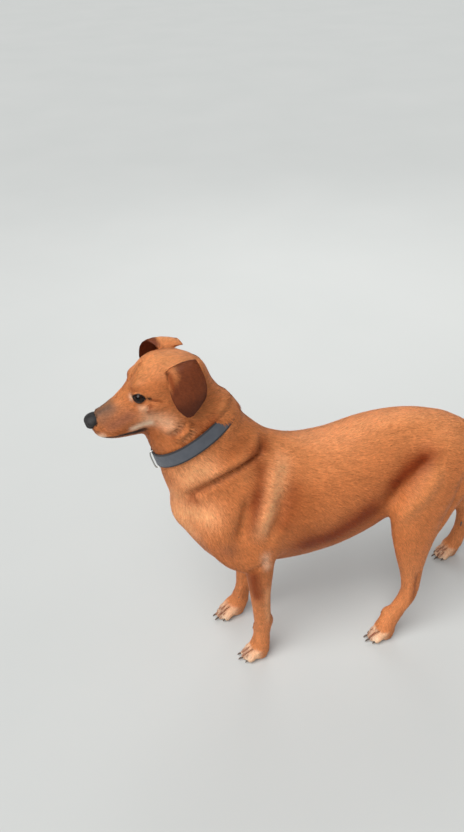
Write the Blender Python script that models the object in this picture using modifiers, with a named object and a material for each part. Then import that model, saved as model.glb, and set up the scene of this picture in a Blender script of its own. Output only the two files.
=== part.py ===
"""A standing, smooth-coated dog of medium size, made as a life-size still model.

Metres, +Z up. The dog faces -Y and its left side is at +X. The origin is on the floor, under the
middle of the whole animal. The flesh is lofted bone by bone, merged into one body, and then parted
with thin cuts into the pieces a person would name. Eyes, nose, claws and collar are made separately.
"""

import math

import bmesh
import bpy
import numpy as np
from mathutils import Euler, Matrix, Vector
from mathutils.bvhtree import BVHTree

# Driving dimensions. Heights are above the floor; lengths run back from the fore feet.
MIDDLE = Vector((0.003, 0.178, 0.0))  # the middle of the animal, seen from between its fore feet
GAP = 0.0003  # left between pieces that meet
WELD = 0.00003  # corners closer than this are one
VOXEL = 0.0022  # grain of the merged body
BODY_TRIANGLES = 3150  # what the whole flesh keeps
FINE_FAVOUR = 0.02  # how much finer the face and feet stay
CHEST_HALF = 0.083
HEAD_ROOT = Vector((0.0, -0.045, 0.585))  # under the back of the skull
HEAD_DROP = math.radians(16)  # how far the head's long axis dips to the nose
EYE_RADIUS = 0.0105
EYE_PLACE = (0.0960, 0.0240, 0.0200)  # along the head, across it, above it
EAR_THICK = 0.0036
RIGHT_EAR_SWING = 0.024  # the right ear flops forward
RIGHT_EAR_TILT = 19.0  # and its fold is higher in front
RIGHT_EAR_RISE = 0.004
COLLAR_WIDTH = 0.024
COLLAR_THICK = 0.0028
COLLAR_SINK = 0.0018  # how deep the collar presses into the coat
RING_HALF = (0.0148, 0.0050)  # the loop's reach along the strap's width, and out from it
RING_SQUARE = 0.55
RING_WIRE = 0.0013
RING_ANGLE = 280.0  # round the neck from its left side: just left of the throat
RING_POINTS = 18
BUCKLE_ANGLE = 188.0  # round the neck, from its left side over the nape
BUCKLE_SIZE = (0.040, 0.029, 0.0075)
COLLAR_THROAT = Vector((0.0, -0.122, 0.4531))
COLLAR_NAPE = Vector((0.0, -0.002, 0.5239))
COLLAR_LEAN = 0.15  # how much higher it sits on the left, for each metre across

COAT = (0.62, 0.25, 0.09, 1.0)
CREAM = (0.80, 0.52, 0.34, 1.0)
EAR_BROWN = (0.16, 0.055, 0.03, 1.0)
BLACK_SKIN = (0.02, 0.016, 0.015, 1.0)
CLAW_HORN = (0.05, 0.035, 0.028, 1.0)
EYE_BROWN = (0.035, 0.012, 0.006, 1.0)
WEBBING = (0.075, 0.075, 0.095, 1.0)
STEEL = (0.62, 0.61, 0.58, 1.0)


def clear_scene():
    for obj in list(bpy.data.objects):
        bpy.data.objects.remove(obj, do_unlink=True)


def collection(name, hidden=False):
    made = bpy.data.collections.new(name)
    bpy.context.scene.collection.children.link(made)
    made.hide_render = hidden
    return made


def material(name, color, roughness, metallic=0.0):
    made = bpy.data.materials.new(name)
    made.use_nodes = True
    shader = made.node_tree.nodes["Principled BSDF"]
    shader.inputs["Base Color"].default_value = color
    shader.inputs["Roughness"].default_value = roughness
    shader.inputs["Metallic"].default_value = metallic
    made.diffuse_color = color
    return made


def to_object(name, mesh, group):
    obj = bpy.data.objects.new(name, mesh)
    group.objects.link(obj)
    return obj


def from_bmesh(name, bm, group):
    """Triangulated, so that a piece and the room cut for it fold along the same lines."""
    bmesh.ops.triangulate(bm, faces=bm.faces)
    mesh = bpy.data.meshes.new(name)
    bm.to_mesh(mesh)
    bm.free()
    return to_object(name, mesh, group)


# Lofts -------------------------------------------------------------------------------------------


class Ring:
    """One cross-section: a centre, two directions, and how far the flesh reaches along them."""

    def __init__(self, centre, across, up, half, top, low, power=2.0, pinches=(0.0, 0.0), bend=0.0):
        self.values = np.array([*centre, *across, *up, half, top, low, power, *pinches, bend], float)


def ring_points(values, sides):
    centre, across, up = values[0:3], values[3:6], values[6:9]
    half, top, low, power, pinch_top, pinch_low, bend = values[9:16]
    across = across / np.linalg.norm(across)
    up = up / np.linalg.norm(up)
    turn = np.linspace(0, 2 * math.pi, sides, endpoint=False)
    side, rise = np.cos(turn), np.sin(turn)
    square = 2.0 / power
    width = half * np.sign(side) * np.abs(side) ** square
    height = np.where(rise > 0, top, low) * np.sign(rise) * np.abs(rise) ** square
    width = width * (1 - np.where(rise > 0, pinch_top, pinch_low) * np.abs(rise) ** 1.5)
    height = height - bend * side**2
    return centre + np.outer(width, across) + np.outer(height, up)


def between(a, b, c, d, t):
    """Catmull-Rom: from b to c as t runs 0 to 1."""
    return 0.5 * (
        2 * b + (c - a) * t + (2 * a - 5 * b + 4 * c - d) * t * t + (3 * b - a - 3 * c + d) * t**3
    )


def loft(name, rings, group, sides=28, steps=5, dome=0.6):
    """A closed body through the rings in turn. Its two ends are rounded by a dome."""
    rows = [ring.values for ring in rings]
    padded = [2 * rows[0] - rows[1], *rows, 2 * rows[-1] - rows[-2]]
    fine = [
        between(*padded[i : i + 4], step / steps)
        for i in range(len(rows) - 1)
        for step in range(steps)
    ] + [rows[-1]]

    def domed(end, inner):
        outward = end[0:3] - inner[0:3]
        outward = outward / np.linalg.norm(outward)
        reach = dome * min(end[9], (end[10] + end[11]) / 2)
        made = []
        for angle in (35, 65, 84):
            ring = end.copy()
            ring[0:3] += outward * reach * math.sin(math.radians(angle))
            ring[9:12] *= math.cos(math.radians(angle))
            made.append(ring)
        return made

    if dome:
        fine = domed(fine[0], fine[1])[::-1] + fine + domed(fine[-1], fine[-2])
    bm = bmesh.new()
    loops = [[bm.verts.new(p) for p in ring_points(row, sides)] for row in fine]
    for here, there in zip(loops, loops[1:]):
        for i in range(sides):
            j = (i + 1) % sides
            bm.faces.new((here[i], here[j], there[j], there[i]))
    bm.faces.new(loops[0][::-1])
    bm.faces.new(loops[-1])
    bmesh.ops.recalc_face_normals(bm, faces=bm.faces)
    return from_bmesh(name, bm, group)


def ball(name, centre, radii, group, turn=(0, 0, 0), segments=20):
    """An ellipsoid of muscle or bone under the skin."""
    bm = bmesh.new()
    place = Matrix.Translation(centre) @ Euler([math.radians(a) for a in turn]).to_matrix().to_4x4()
    bmesh.ops.create_uvsphere(bm, u_segments=segments, v_segments=segments // 2, radius=1.0)
    bmesh.ops.transform(bm, matrix=place @ Matrix.Diagonal((*radii, 1)), verts=bm.verts)
    return from_bmesh(name, bm, group)


def limb(name, joints, group, sides=20):
    """A leg or tail: each joint is (x, y, z, half width, reach forward, reach back)."""
    centres = [Vector(j[:3]) for j in joints]
    rings = []
    for i, joint in enumerate(joints):
        along = centres[min(i + 1, len(joints) - 1)] - centres[max(i - 1, 0)]
        back = along.cross(Vector((1, 0, 0))).normalized()
        if back.y > 0:
            back.negate()  # "top" of a limb's ring is its front
        rings.append(Ring(centres[i], (1, 0, 0), back, joint[3], joint[4], joint[5], 2.1))
    return loft(name, rings, group, sides)


def mirrored(point, side):
    return (point[0] * side, *point[1:])


# The body's masses --------------------------------------------------------------------------------

ACROSS, UP = (1, 0, 0), (0, 0, 1)


def trunk_loft(group):
    """Forechest to buttocks. Each row: place along, half width, back, belly, widest height, pinches."""
    rows = (
        (-0.094, 0.034, 0.372, 0.300, 0.338, 0.0, 0.0),
        (-0.078, 0.056, 0.420, 0.268, 0.335, 0.1, 0.1),
        (-0.045, 0.074, 0.452, 0.220, 0.330, 0.2, 0.2),
        (0.000, 0.080, 0.470, 0.196, 0.322, 0.3, 0.3),
        (0.050, CHEST_HALF, 0.464, 0.187, 0.315, 0.3, 0.3),
        (0.110, CHEST_HALF + 0.003, 0.438, 0.187, 0.312, 0.15, 0.25),
        (0.170, CHEST_HALF + 0.002, 0.435, 0.195, 0.315, 0.1, 0.2),
        (0.225, CHEST_HALF - 0.004, 0.448, 0.213, 0.325, 0.1, 0.15),
        (0.280, 0.071, 0.452, 0.241, 0.340, 0.1, 0.1),
        (0.335, 0.068, 0.444, 0.264, 0.350, 0.1, 0.1),
        (0.385, 0.060, 0.427, 0.284, 0.350, 0.1, 0.1),
        (0.428, 0.040, 0.403, 0.305, 0.352, 0.0, 0.0),
    )
    rings = [
        Ring((0, y, mid), ACROSS, UP, half, top - mid, mid - low, 2.15, (ridge, keel))
        for y, half, top, low, mid, ridge, keel in rows
    ]
    return loft("trunk_mass", rings, group, sides=36)


def neck_loft(group):
    """From inside the shoulders up to the skull. Each row: along, height, half width, nape, throat."""
    rows = (
        (0.030, 0.335, 0.060, 0.106, 0.105),
        (-0.020, 0.405, 0.065, 0.098, 0.098),
        (-0.050, 0.462, 0.059, 0.083, 0.082),
        (-0.070, 0.512, 0.053, 0.075, 0.073),
        (-0.086, 0.560, 0.047, 0.060, 0.060),
    )
    spine = [Vector((0, row[0], row[1])) for row in rows]
    rings = []
    for i, (y, z, half, nape, throat) in enumerate(rows):
        along = spine[min(i + 1, len(rows) - 1)] - spine[max(i - 1, 0)]
        dorsal = Vector((0, along.z, -along.y)).normalized()
        rings.append(Ring((0, y, z), ACROSS, dorsal, half, nape, throat, 2.1))
    return loft("neck_mass", rings, group, sides=32)


HEAD_AXIS = Vector((0, -math.cos(HEAD_DROP), -math.sin(HEAD_DROP)))
HEAD_UP = Vector((0, -math.sin(HEAD_DROP), math.cos(HEAD_DROP)))


def on_head(forward, side, up):
    """A point given along the head's own axis, across it and above it."""
    return HEAD_ROOT + HEAD_AXIS * forward + Vector((side, 0, 0)) + HEAD_UP * up


def head_masses(group):
    """Skull, muzzle and lower jaw. Each row: forward, half width, top, low, widest, pinches."""
    rows = (
        (-0.004, 0.026, 0.034, -0.020, 0.008, 0.0, 0.0),
        (0.012, 0.040, 0.047, -0.038, 0.004, 0.1, 0.1),
        (0.030, 0.046, 0.058, -0.048, 0.004, 0.15, 0.2),
        (0.050, 0.0475, 0.0650, -0.053, 0.002, 0.15, 0.2),
        (0.066, 0.0455, 0.0655, -0.055, 0.000, 0.15, 0.2),
        (0.080, 0.0415, 0.0600, -0.0560, -0.002, 0.15, 0.2),
        (0.092, 0.0365, 0.0510, -0.0560, -0.006, 0.15, 0.25),
        (0.104, 0.0320, 0.0400, -0.0560, -0.009, 0.2, 0.25),
        (0.116, 0.0290, 0.0315, -0.0545, -0.0115, 0.2, 0.3),
        (0.130, 0.0268, 0.0240, -0.0520, -0.0125, 0.2, 0.3),
        (0.146, 0.0250, 0.0190, -0.0490, -0.0125, 0.2, 0.35),
        (0.158, 0.0235, 0.0165, -0.0450, -0.0115, 0.2, 0.35),
        (0.168, 0.0205, 0.0140, -0.0395, -0.0105, 0.2, 0.3),
        (0.176, 0.0165, 0.0100, -0.0325, -0.0095, 0.1, 0.25),
    )
    rings = [
        Ring(on_head(s, 0, mid), ACROSS, HEAD_UP, half, top - mid, mid - low, 2.25, (crest, chin))
        for s, half, top, low, mid, crest, chin in rows
    ]
    loft("skull_mass", rings, group, sides=32, dome=0.5)
    tilt = math.degrees(HEAD_DROP)
    for side in (1, -1):
        for label, place, radii in (
            ("brow", (0.083, 0.0185, 0.0360), (0.0145, 0.0200, 0.0130)),
            ("orbit", (0.088, 0.0210, 0.0190), (0.0135, 0.0200, 0.0160)),
            ("temple", (0.048, 0.0260, 0.0280), (0.0210, 0.0380, 0.0260)),
            ("cheek", (0.058, 0.0290, -0.0220), (0.0180, 0.0360, 0.0280)),
            ("cheekbone", (0.068, 0.0290, 0.0030), (0.0135, 0.0380, 0.0140)),
            ("lip", (0.147, 0.0130, -0.0200), (0.0125, 0.0320, 0.0150)),
        ):
            centre = on_head(place[0], place[1] * side, place[2])
            ball(f"{label}_{side}", centre, radii, group, (tilt, 0, 0))


def foreleg(side, forearm, group):
    """Shoulder blade and upper arm, the same on both sides, then the forearm down to the pastern."""
    shoulder = (
        (0.030, 0.050, 0.440, 0.014, 0.022, 0.022),
        (0.050, 0.018, 0.400, 0.018, 0.036, 0.034),
        (0.060, -0.020, 0.355, 0.021, 0.038, 0.038),
        (0.060, -0.042, 0.318, 0.022, 0.032, 0.034),
        (0.063, -0.022, 0.282, 0.024, 0.038, 0.036),
        (0.066, 0.010, 0.254, 0.024, 0.036, 0.034),
    )
    limb(f"shoulder_{side}", [mirrored(j, side) for j in shoulder], group)
    ball(f"triceps_{side}", (0.066 * side, 0.030, 0.300), (0.021, 0.040, 0.064), group, (12, 0, 0))
    limb(f"forearm_{side}", [mirrored(j, side) for j in forearm], group)
    wrist = forearm[5]
    pad = (wrist[0] * side, wrist[1] + 0.0170, wrist[2] - 0.004)
    ball(f"wrist_pad_{side}", pad, (0.008, 0.0080, 0.0120), group)


LEFT_FORE = (
    (0.066, 0.018, 0.280, 0.023, 0.038, 0.032),
    (0.067, 0.021, 0.245, 0.023, 0.030, 0.028),
    (0.067, 0.022, 0.205, 0.0205, 0.0240, 0.0240),
    (0.065, 0.023, 0.155, 0.0175, 0.0190, 0.0190),
    (0.062, 0.026, 0.112, 0.0160, 0.0175, 0.0175),
    (0.060, 0.028, 0.090, 0.0165, 0.0175, 0.0180),
    (0.059, 0.027, 0.062, 0.0155, 0.0155, 0.0155),
    (0.060, 0.022, 0.034, 0.0180, 0.0170, 0.0180),
    (0.061, 0.016, 0.020, 0.0180, 0.0160, 0.0160),
)
RIGHT_FORE = (  # its foot is set a little further forward
    (0.066, 0.016, 0.280, 0.023, 0.038, 0.032),
    (0.067, 0.016, 0.245, 0.023, 0.032, 0.028),
    (0.066, 0.018, 0.205, 0.0205, 0.0250, 0.0240),
    (0.063, 0.023, 0.155, 0.0175, 0.0190, 0.0190),
    (0.061, 0.028, 0.112, 0.0160, 0.0175, 0.0175),
    (0.059, 0.028, 0.090, 0.0165, 0.0175, 0.0180),
    (0.057, 0.023, 0.062, 0.0155, 0.0155, 0.0160),
    (0.055, 0.014, 0.034, 0.0180, 0.0170, 0.0180),
    (0.055, 0.004, 0.020, 0.0180, 0.0160, 0.0160),
)


def hindleg(side, joints, heel, group):
    limb(f"hind_{side}", [mirrored(j, side) for j in joints], group)
    ball(f"heel_{side}", mirrored(heel, side), (0.0105, 0.0120, 0.0170), group, (-10, 0, 0))


LEFT_HIND = (  # set well forward under the belly
    (0.040, 0.378, 0.390, 0.034, 0.066, 0.056),
    (0.056, 0.352, 0.340, 0.036, 0.082, 0.072),
    (0.068, 0.320, 0.298, 0.033, 0.068, 0.068),
    (0.076, 0.305, 0.258, 0.028, 0.049, 0.060),
    (0.081, 0.301, 0.228, 0.0245, 0.040, 0.044),
    (0.084, 0.300, 0.195, 0.0210, 0.031, 0.0335),
    (0.086, 0.3015, 0.1635, 0.0185, 0.024, 0.0245),
    (0.088, 0.3030, 0.125, 0.0160, 0.0190, 0.0185),
    (0.089, 0.2995, 0.098, 0.0160, 0.0180, 0.0180),
    (0.090, 0.2810, 0.070, 0.0150, 0.0165, 0.0160),
    (0.090, 0.2620, 0.040, 0.0170, 0.0175, 0.0170),
    (0.090, 0.2520, 0.022, 0.0165, 0.0160, 0.0150),
)
RIGHT_HIND = (  # trailing behind the rump
    (0.040, 0.380, 0.390, 0.034, 0.066, 0.056),
    (0.054, 0.372, 0.340, 0.036, 0.076, 0.070),
    (0.064, 0.364, 0.298, 0.033, 0.060, 0.068),
    (0.071, 0.372, 0.256, 0.028, 0.047, 0.052),
    (0.075, 0.404, 0.218, 0.023, 0.034, 0.036),
    (0.077, 0.445, 0.182, 0.019, 0.026, 0.025),
    (0.078, 0.482, 0.150, 0.0155, 0.020, 0.019),
    (0.078, 0.505, 0.120, 0.0155, 0.0175, 0.0170),
    (0.077, 0.504, 0.080, 0.0145, 0.0150, 0.0150),
    (0.076, 0.495, 0.042, 0.0165, 0.0160, 0.0165),
    (0.076, 0.482, 0.022, 0.0165, 0.0160, 0.0150),
)
HEELS = {1: (0.089, 0.3095, 0.108), -1: (0.078, 0.517, 0.132)}

# Feet ----------------------------------------------------------------------------------------------

FEET = {  # name: (place on the floor, half width, length of the toes, turn outwards in degrees)
    "fore_left": (Vector((0.061, 0.0175, 0)), 0.0215, 0.031, -6),
    "fore_right": (Vector((-0.055, 0.0030, 0)), 0.0215, 0.036, 8),
    "hind_left": (Vector((0.0905, 0.2565, 0)), 0.0195, 0.031, -4),
    "hind_right": (Vector((-0.076, 0.482, 0)), 0.0195, 0.031, 6),
}
TOES = (  # across, forward, thickness: inner and outer toes sit further back
    (-0.82, 0.30, 0.86),
    (-0.30, 0.62, 1.0),
    (0.30, 0.62, 1.0),
    (0.82, 0.30, 0.86),
)


def foot_place(foot, across, forward, up):
    """A point on a foot: across and forward in its own half width and toe length, up in metres."""
    place, half, toes, turn = FEET[foot]
    local = Vector((across * half * 0.78, -forward * toes, up))
    return place + Matrix.Rotation(math.radians(turn), 3, "Z") @ local


def foot_masses(foot, group):
    place, half, toes, turn = FEET[foot]
    ball(f"{foot}_instep", foot_place(foot, 0, -0.04, 0.021), (half * 0.84, toes * 0.70, 0.018), group)
    for i, (across, forward, thick) in enumerate(TOES):
        radius = half * 0.36 * thick
        knuckle = foot_place(foot, across * 0.92, forward - 0.10, 0.0165)
        tip = foot_place(foot, across, forward + 0.22, 0.0085)
        ball(f"{foot}_knuckle_{i}", knuckle, (radius, radius * 1.35, radius * 1.3), group, (-25, 0, turn))
        ball(f"{foot}_toe_{i}", tip, (radius * 0.94, radius * 1.25, radius), group, (0, 0, turn))
    ball(f"{foot}_sole", foot_place(foot, 0, -0.12, 0.006), (half * 0.66, toes * 0.5, 0.010), group)


DEWCLAWS = {  # the small high toe: where it sits, and which way its claw points
    "fore_left": (Vector((0.0455, 0.0190, 0.066)), Vector((-0.25, -0.55, -0.80))),
    "fore_right": (Vector((-0.0430, 0.0160, 0.064)), Vector((0.25, -0.55, -0.80))),
    "hind_left": (Vector((0.0800, 0.2620, 0.062)), Vector((-0.25, -0.80, -0.55))),
    "hind_right": (Vector((-0.0640, 0.4960, 0.100)), Vector((0.45, -0.50, -0.75))),
}
DEW_RADIUS = 0.0056


def dewclaw_mass(foot, group):
    place, _ = DEWCLAWS[foot]
    ball(f"{foot}_dew", place, (DEW_RADIUS, DEW_RADIUS, DEW_RADIUS * 1.4), group)


def tail_loft(group):
    """Carried low, with a small lift at the tip."""
    joints = (
        (0, 0.418, 0.386, 0.022, 0.024, 0.020),
        (0, 0.452, 0.362, 0.0175, 0.018, 0.018),
        (0, 0.478, 0.318, 0.0150, 0.0155, 0.0155),
        (0, 0.498, 0.262, 0.0130, 0.0135, 0.0135),
        (0, 0.520, 0.208, 0.0110, 0.0115, 0.0115),
        (0, 0.548, 0.168, 0.0085, 0.0090, 0.0090),
        (0, 0.580, 0.146, 0.0050, 0.0052, 0.0052),
    )
    limb("tail_mass", joints, group, sides=16)


# Merging and parting --------------------------------------------------------------------------------


def baked(obj):
    """The object's evaluated mesh, in world space, with its modifiers used up."""
    graph = bpy.context.evaluated_depsgraph_get()
    mesh = bpy.data.meshes.new_from_object(obj.evaluated_get(graph))
    mesh.transform(obj.matrix_world)
    obj.modifiers.clear()
    obj.data = mesh
    obj.matrix_world = Matrix.Identity(4)
    bpy.context.view_layer.update()
    return obj


def joined(name, objects, group):
    bm = bmesh.new()
    for obj in objects:
        bm.from_mesh(obj.data)
        bpy.data.objects.remove(obj)
    return from_bmesh(name, bm, group)


def boolean(obj, cutter, operation):
    cut = obj.modifiers.new(operation.lower(), "BOOLEAN")
    cut.operation = operation
    cut.object = cutter
    cut.solver = "EXACT"
    baked(obj)
    bm = bmesh.new()
    bm.from_mesh(obj.data)
    bmesh.ops.remove_doubles(bm, verts=bm.verts, dist=WELD)
    bmesh.ops.dissolve_degenerate(bm, edges=bm.edges, dist=WELD)
    bmesh.ops.triangulate(bm, faces=bm.faces)
    bm.to_mesh(obj.data)
    bm.free()
    return obj


def weighted(obj, name, weight):
    """A vertex group whose weight is given by a function of the point."""
    group = obj.vertex_groups.new(name=name)
    for vertex in obj.data.vertices:
        group.add([vertex.index], weight(vertex.co), "REPLACE")
    return group.name


def share(value, low, high):
    """How far value has come from low to high, held between 0 and 1."""
    return min(max((value - low) / (high - low), 0.0), 1.0)


def fine_share(point):
    """0 on the broad body, 1 on the face and feet, where small forms have to last."""
    face = share(-point.y, 0.070, 0.110) if point.z > 0.47 else 0.0
    foot = share(-point.z, -0.070, -0.045)
    return max(face, foot)


def merged_body(group):
    """All the masses as one skin, with soft hollows between the muscles."""
    body = joined("flesh", list(group.objects), group)
    remesh = body.modifiers.new("merge", "REMESH")
    remesh.mode = "VOXEL"
    remesh.voxel_size = VOXEL
    baked(body)
    weighted(body, "broad", lambda p: 1.0 - fine_share(p))
    weighted(body, "face", lambda p: share(p.z, 0.44, 0.47))
    for rounds, only in ((60, "broad"), (18, "face"), (5, "")):
        smooth = body.modifiers.new("soften", "SMOOTH")
        smooth.factor = 0.5
        smooth.iterations = rounds
        smooth.vertex_group = only
    baked(body)
    body.vertex_groups.clear()
    weighted(body, "plain", lambda p: 1.0 - 0.9 * fine_share(p))
    thin = body.modifiers.new("thin", "DECIMATE")
    thin.vertex_group = "plain"
    thin.vertex_group_factor = FINE_FAVOUR
    thin.use_collapse_triangulate = True
    thin.ratio = BODY_TRIANGLES / (2 * len(body.data.polygons))
    baked(body)
    body.vertex_groups.clear()
    return body


# The single pieces ---------------------------------------------------------------------------------


def grown(obj, margin, name, group):
    """A copy of a closed piece, swollen by margin, to cut a neighbour with."""
    copy = to_object(name, obj.data.copy(), group)
    bm = bmesh.new()
    bm.from_mesh(copy.data)
    normals = {v.index: v.normal.copy() for v in bm.verts}
    for vert in bm.verts:
        vert.co += normals[vert.index] * margin
    bm.to_mesh(copy.data)
    bm.free()
    return copy


def eye(side, group):
    forward, across, up = EYE_PLACE
    place = on_head(forward, across * side, up)
    return ball(name_of("eye", side), place, (EYE_RADIUS,) * 3, group, segments=14)


def name_of(part, side):
    return f"{part}_left" if side > 0 else f"{part}_right"


def nose(group):
    rows = (
        (0.166, 0.0120, 0.0105, -0.0090, 0.001),
        (0.174, 0.0150, 0.0120, -0.0125, 0.001),
        (0.182, 0.0140, 0.0115, -0.0120, 0.001),
        (0.187, 0.0100, 0.0090, -0.0090, 0.000),
    )
    rings = [
        Ring(on_head(s, 0, mid), ACROSS, HEAD_UP, half, top - mid, mid - low, 2.4, (0.1, 0.35))
        for s, half, top, low, mid in rows
    ]
    return loft("nose", rings, group, sides=12, steps=1, dome=0.3)


EAR_ROWS = (  # along the head, across, above, half width of the leather, inward curl of its edges
    (0.0240, 0.0300, 0.0440, 0.0200, 0.000),
    (0.0240, 0.0400, 0.0545, 0.0235, 0.003),
    (0.0240, 0.0500, 0.0555, 0.0255, 0.005),
    (0.0245, 0.0575, 0.0420, 0.0270, 0.006),
    (0.0260, 0.0620, 0.0200, 0.0285, 0.006),
    (0.0290, 0.0635, 0.0000, 0.0250, 0.005),
    (0.0330, 0.0630, -0.0120, 0.0175, 0.003),
    (0.0385, 0.0620, -0.0215, 0.0070, 0.001),
)


EAR_SETS = {1: (0.0, 0.0, 0.0), -1: (RIGHT_EAR_SWING, RIGHT_EAR_TILT, RIGHT_EAR_RISE)}


def ear(side, swing, tilt, rise, group):
    """The leather rises from the skull, folds over and hangs. swing carries its flap forward."""
    tilt = math.radians(tilt)
    along = HEAD_AXIS * math.cos(tilt) + HEAD_UP * math.sin(tilt)
    rings = []
    for i, (forward, across, up, half, curl) in enumerate(EAR_ROWS):
        before, after = EAR_ROWS[max(i - 1, 0)], EAR_ROWS[min(i + 1, len(EAR_ROWS) - 1)]
        outward = (before[2] - after[2]) * side, after[1] - before[1]
        normal = Vector((outward[0], 0, 0)) + HEAD_UP * outward[1]
        hang = i / (len(EAR_ROWS) - 1)
        centre = on_head(forward + swing * share(hang, 0.0, 0.5), across * side, up + rise)
        thick = EAR_THICK / 2
        rings.append(Ring(centre, along, normal, half, thick, thick, 2.2, bend=curl))
    return loft(name_of("ear", side), rings, group, sides=12, steps=1, dome=1.0)


def claw(name, root, aim, group):
    """A short horn, bent down towards its tip."""
    aim = aim.normalized()
    side = aim.cross(Vector((0, 0, 1))).normalized()
    rings = []
    for reach, radius, sag in CLAW_ROWS:
        centre = root + aim * reach - Vector((0, 0, sag))
        rings.append(Ring(centre, side, side.cross(aim), radius * 0.8, radius, radius))
    return loft(name, rings, group, sides=6, steps=1, dome=0)


CLAW_ROWS = (  # reach, radius, sag
    (-0.0040, 0.0020, 0.0000),
    (0.0003, 0.0021, 0.0003),
    (0.0026, 0.0017, 0.0012),
    (0.0047, 0.0008, 0.0027),
)


def claws(foot, group):
    _, half, toes, turn = FEET[foot]
    made = []
    for i, (across, forward, thick) in enumerate(TOES):
        radius = half * 0.36 * thick
        tip = foot_place(foot, across, forward + 0.22, 0.0085)
        aim = Matrix.Rotation(math.radians(turn), 3, "Z") @ Vector((across * 0.15, -1.0, -0.12))
        made.append(claw(f"claw_{foot}_{i + 1}", tip + aim.normalized() * radius, aim, group))
    place, aim = DEWCLAWS[foot]
    made.append(claw(f"dewclaw_{foot}", place + aim.normalized() * DEW_RADIUS, aim, group))
    return made


COLLAR_CENTRE = (COLLAR_THROAT + COLLAR_NAPE) / 2
COLLAR_BACK = (COLLAR_NAPE - COLLAR_THROAT).normalized()
COLLAR_AXIS = Vector((1, 0, COLLAR_LEAN)).cross(COLLAR_BACK).normalized()
COLLAR_ACROSS = COLLAR_BACK.cross(COLLAR_AXIS)
COLLAR_STEPS = 30


def collar(flesh, group):
    """A webbing strap round the neck, found by feeling inwards for the coat all the way round."""
    tree = BVHTree.FromObject(flesh, bpy.context.evaluated_depsgraph_get())
    reach = 0.3
    table = np.zeros((COLLAR_STEPS, 2))
    for i in range(COLLAR_STEPS):
        angle = 2 * math.pi * i / COLLAR_STEPS
        outward = COLLAR_ACROSS * math.cos(angle) + COLLAR_BACK * math.sin(angle)
        for j, shift in enumerate((0.5, -0.5)):
            middle = COLLAR_CENTRE + COLLAR_AXIS * COLLAR_WIDTH * shift
            hit = tree.ray_cast(middle + outward * reach, -outward)
            table[i, j] = reach - hit[3]
    coat = table.copy()
    for _ in range(6):
        table = (np.roll(table, 1, 0) + 2 * table + np.roll(table, -1, 0)) / 4
        table = np.maximum(table, coat)
    bm = bmesh.new()
    loops = []
    for i in range(COLLAR_STEPS):
        angle = 2 * math.pi * i / COLLAR_STEPS
        outward = COLLAR_ACROSS * math.cos(angle) + COLLAR_BACK * math.sin(angle)
        inner = [
            COLLAR_CENTRE + COLLAR_AXIS * COLLAR_WIDTH * shift + outward * (radius - COLLAR_SINK)
            for shift, radius in zip((0.5, -0.5), table[i])
        ]
        outer = [point + outward * COLLAR_THICK for point in reversed(inner)]
        loops.append([bm.verts.new(point) for point in (*inner, *outer)])
    for here, there in zip(loops, loops[1:] + loops[:1]):
        for k in range(4):
            bm.faces.new((here[k], here[(k + 1) % 4], there[(k + 1) % 4], there[k]))
    bmesh.ops.recalc_face_normals(bm, faces=bm.faces)
    return from_bmesh("collar", bm, group)


def collar_ring(strap, group):
    """A steel loop that the strap runs through at the throat."""
    corners = [v.co.copy() for v in strap.data.vertices]
    step = round(RING_ANGLE / 360 * COLLAR_STEPS)
    section = corners[4 * step : 4 * step + 4]
    centre = sum(section, Vector()) / 4
    wide = (section[0] - section[1]).normalized()
    out = (section[3] - section[0]).normalized()
    curve = bpy.data.curves.new("collar_ring", "CURVE")
    curve.dimensions = "3D"
    curve.bevel_depth = RING_WIRE
    curve.bevel_resolution = 0
    spline = curve.splines.new("POLY")
    spline.points.add(RING_POINTS - 1)
    spline.use_cyclic_u = True
    for i, point in enumerate(spline.points):
        turn = 2 * math.pi * i / RING_POINTS
        along = math.copysign(abs(math.cos(turn)) ** RING_SQUARE, math.cos(turn))
        off = math.copysign(abs(math.sin(turn)) ** RING_SQUARE, math.sin(turn))
        point.co = (*(centre + wide * RING_HALF[0] * along + out * RING_HALF[1] * off), 1.0)
    bent = to_object("ring_wire", curve, group)
    bpy.context.view_layer.update()
    mesh = bpy.data.meshes.new_from_object(bent.evaluated_get(bpy.context.evaluated_depsgraph_get()))
    bpy.data.objects.remove(bent)
    bm = bmesh.new()
    bm.from_mesh(mesh)
    bmesh.ops.remove_doubles(bm, verts=bm.verts, dist=1e-5)
    bmesh.ops.recalc_face_normals(bm, faces=bm.faces)
    return from_bmesh("collar_ring", bm, group)


def collar_buckle(strap, group):
    """A plastic side-release buckle on the right of the neck."""
    angle = math.radians(BUCKLE_ANGLE)
    outward = COLLAR_ACROSS * math.cos(angle) + COLLAR_BACK * math.sin(angle)
    along = outward.cross(COLLAR_AXIS)
    reach = max((v.co - COLLAR_CENTRE).dot(outward) for v in strap.data.vertices)
    turn = Matrix((along, COLLAR_AXIS, outward)).transposed().to_4x4()
    length, width, thick = BUCKLE_SIZE
    centre = COLLAR_CENTRE + outward * (reach + thick / 2 + GAP)
    bm = bmesh.new()
    bmesh.ops.create_cube(bm, size=1.0)
    bmesh.ops.transform(bm, matrix=Matrix.Diagonal((length, width, thick, 1)), verts=bm.verts)
    bmesh.ops.bevel(bm, geom=bm.edges, offset=thick * 0.3, segments=2, profile=0.5, affect="EDGES")
    bmesh.ops.transform(bm, matrix=Matrix.Translation(centre) @ turn, verts=bm.verts)
    bmesh.ops.recalc_face_normals(bm, faces=bm.faces)
    return from_bmesh("collar_buckle", bm, group)


# Parting the flesh ---------------------------------------------------------------------------------


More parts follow.
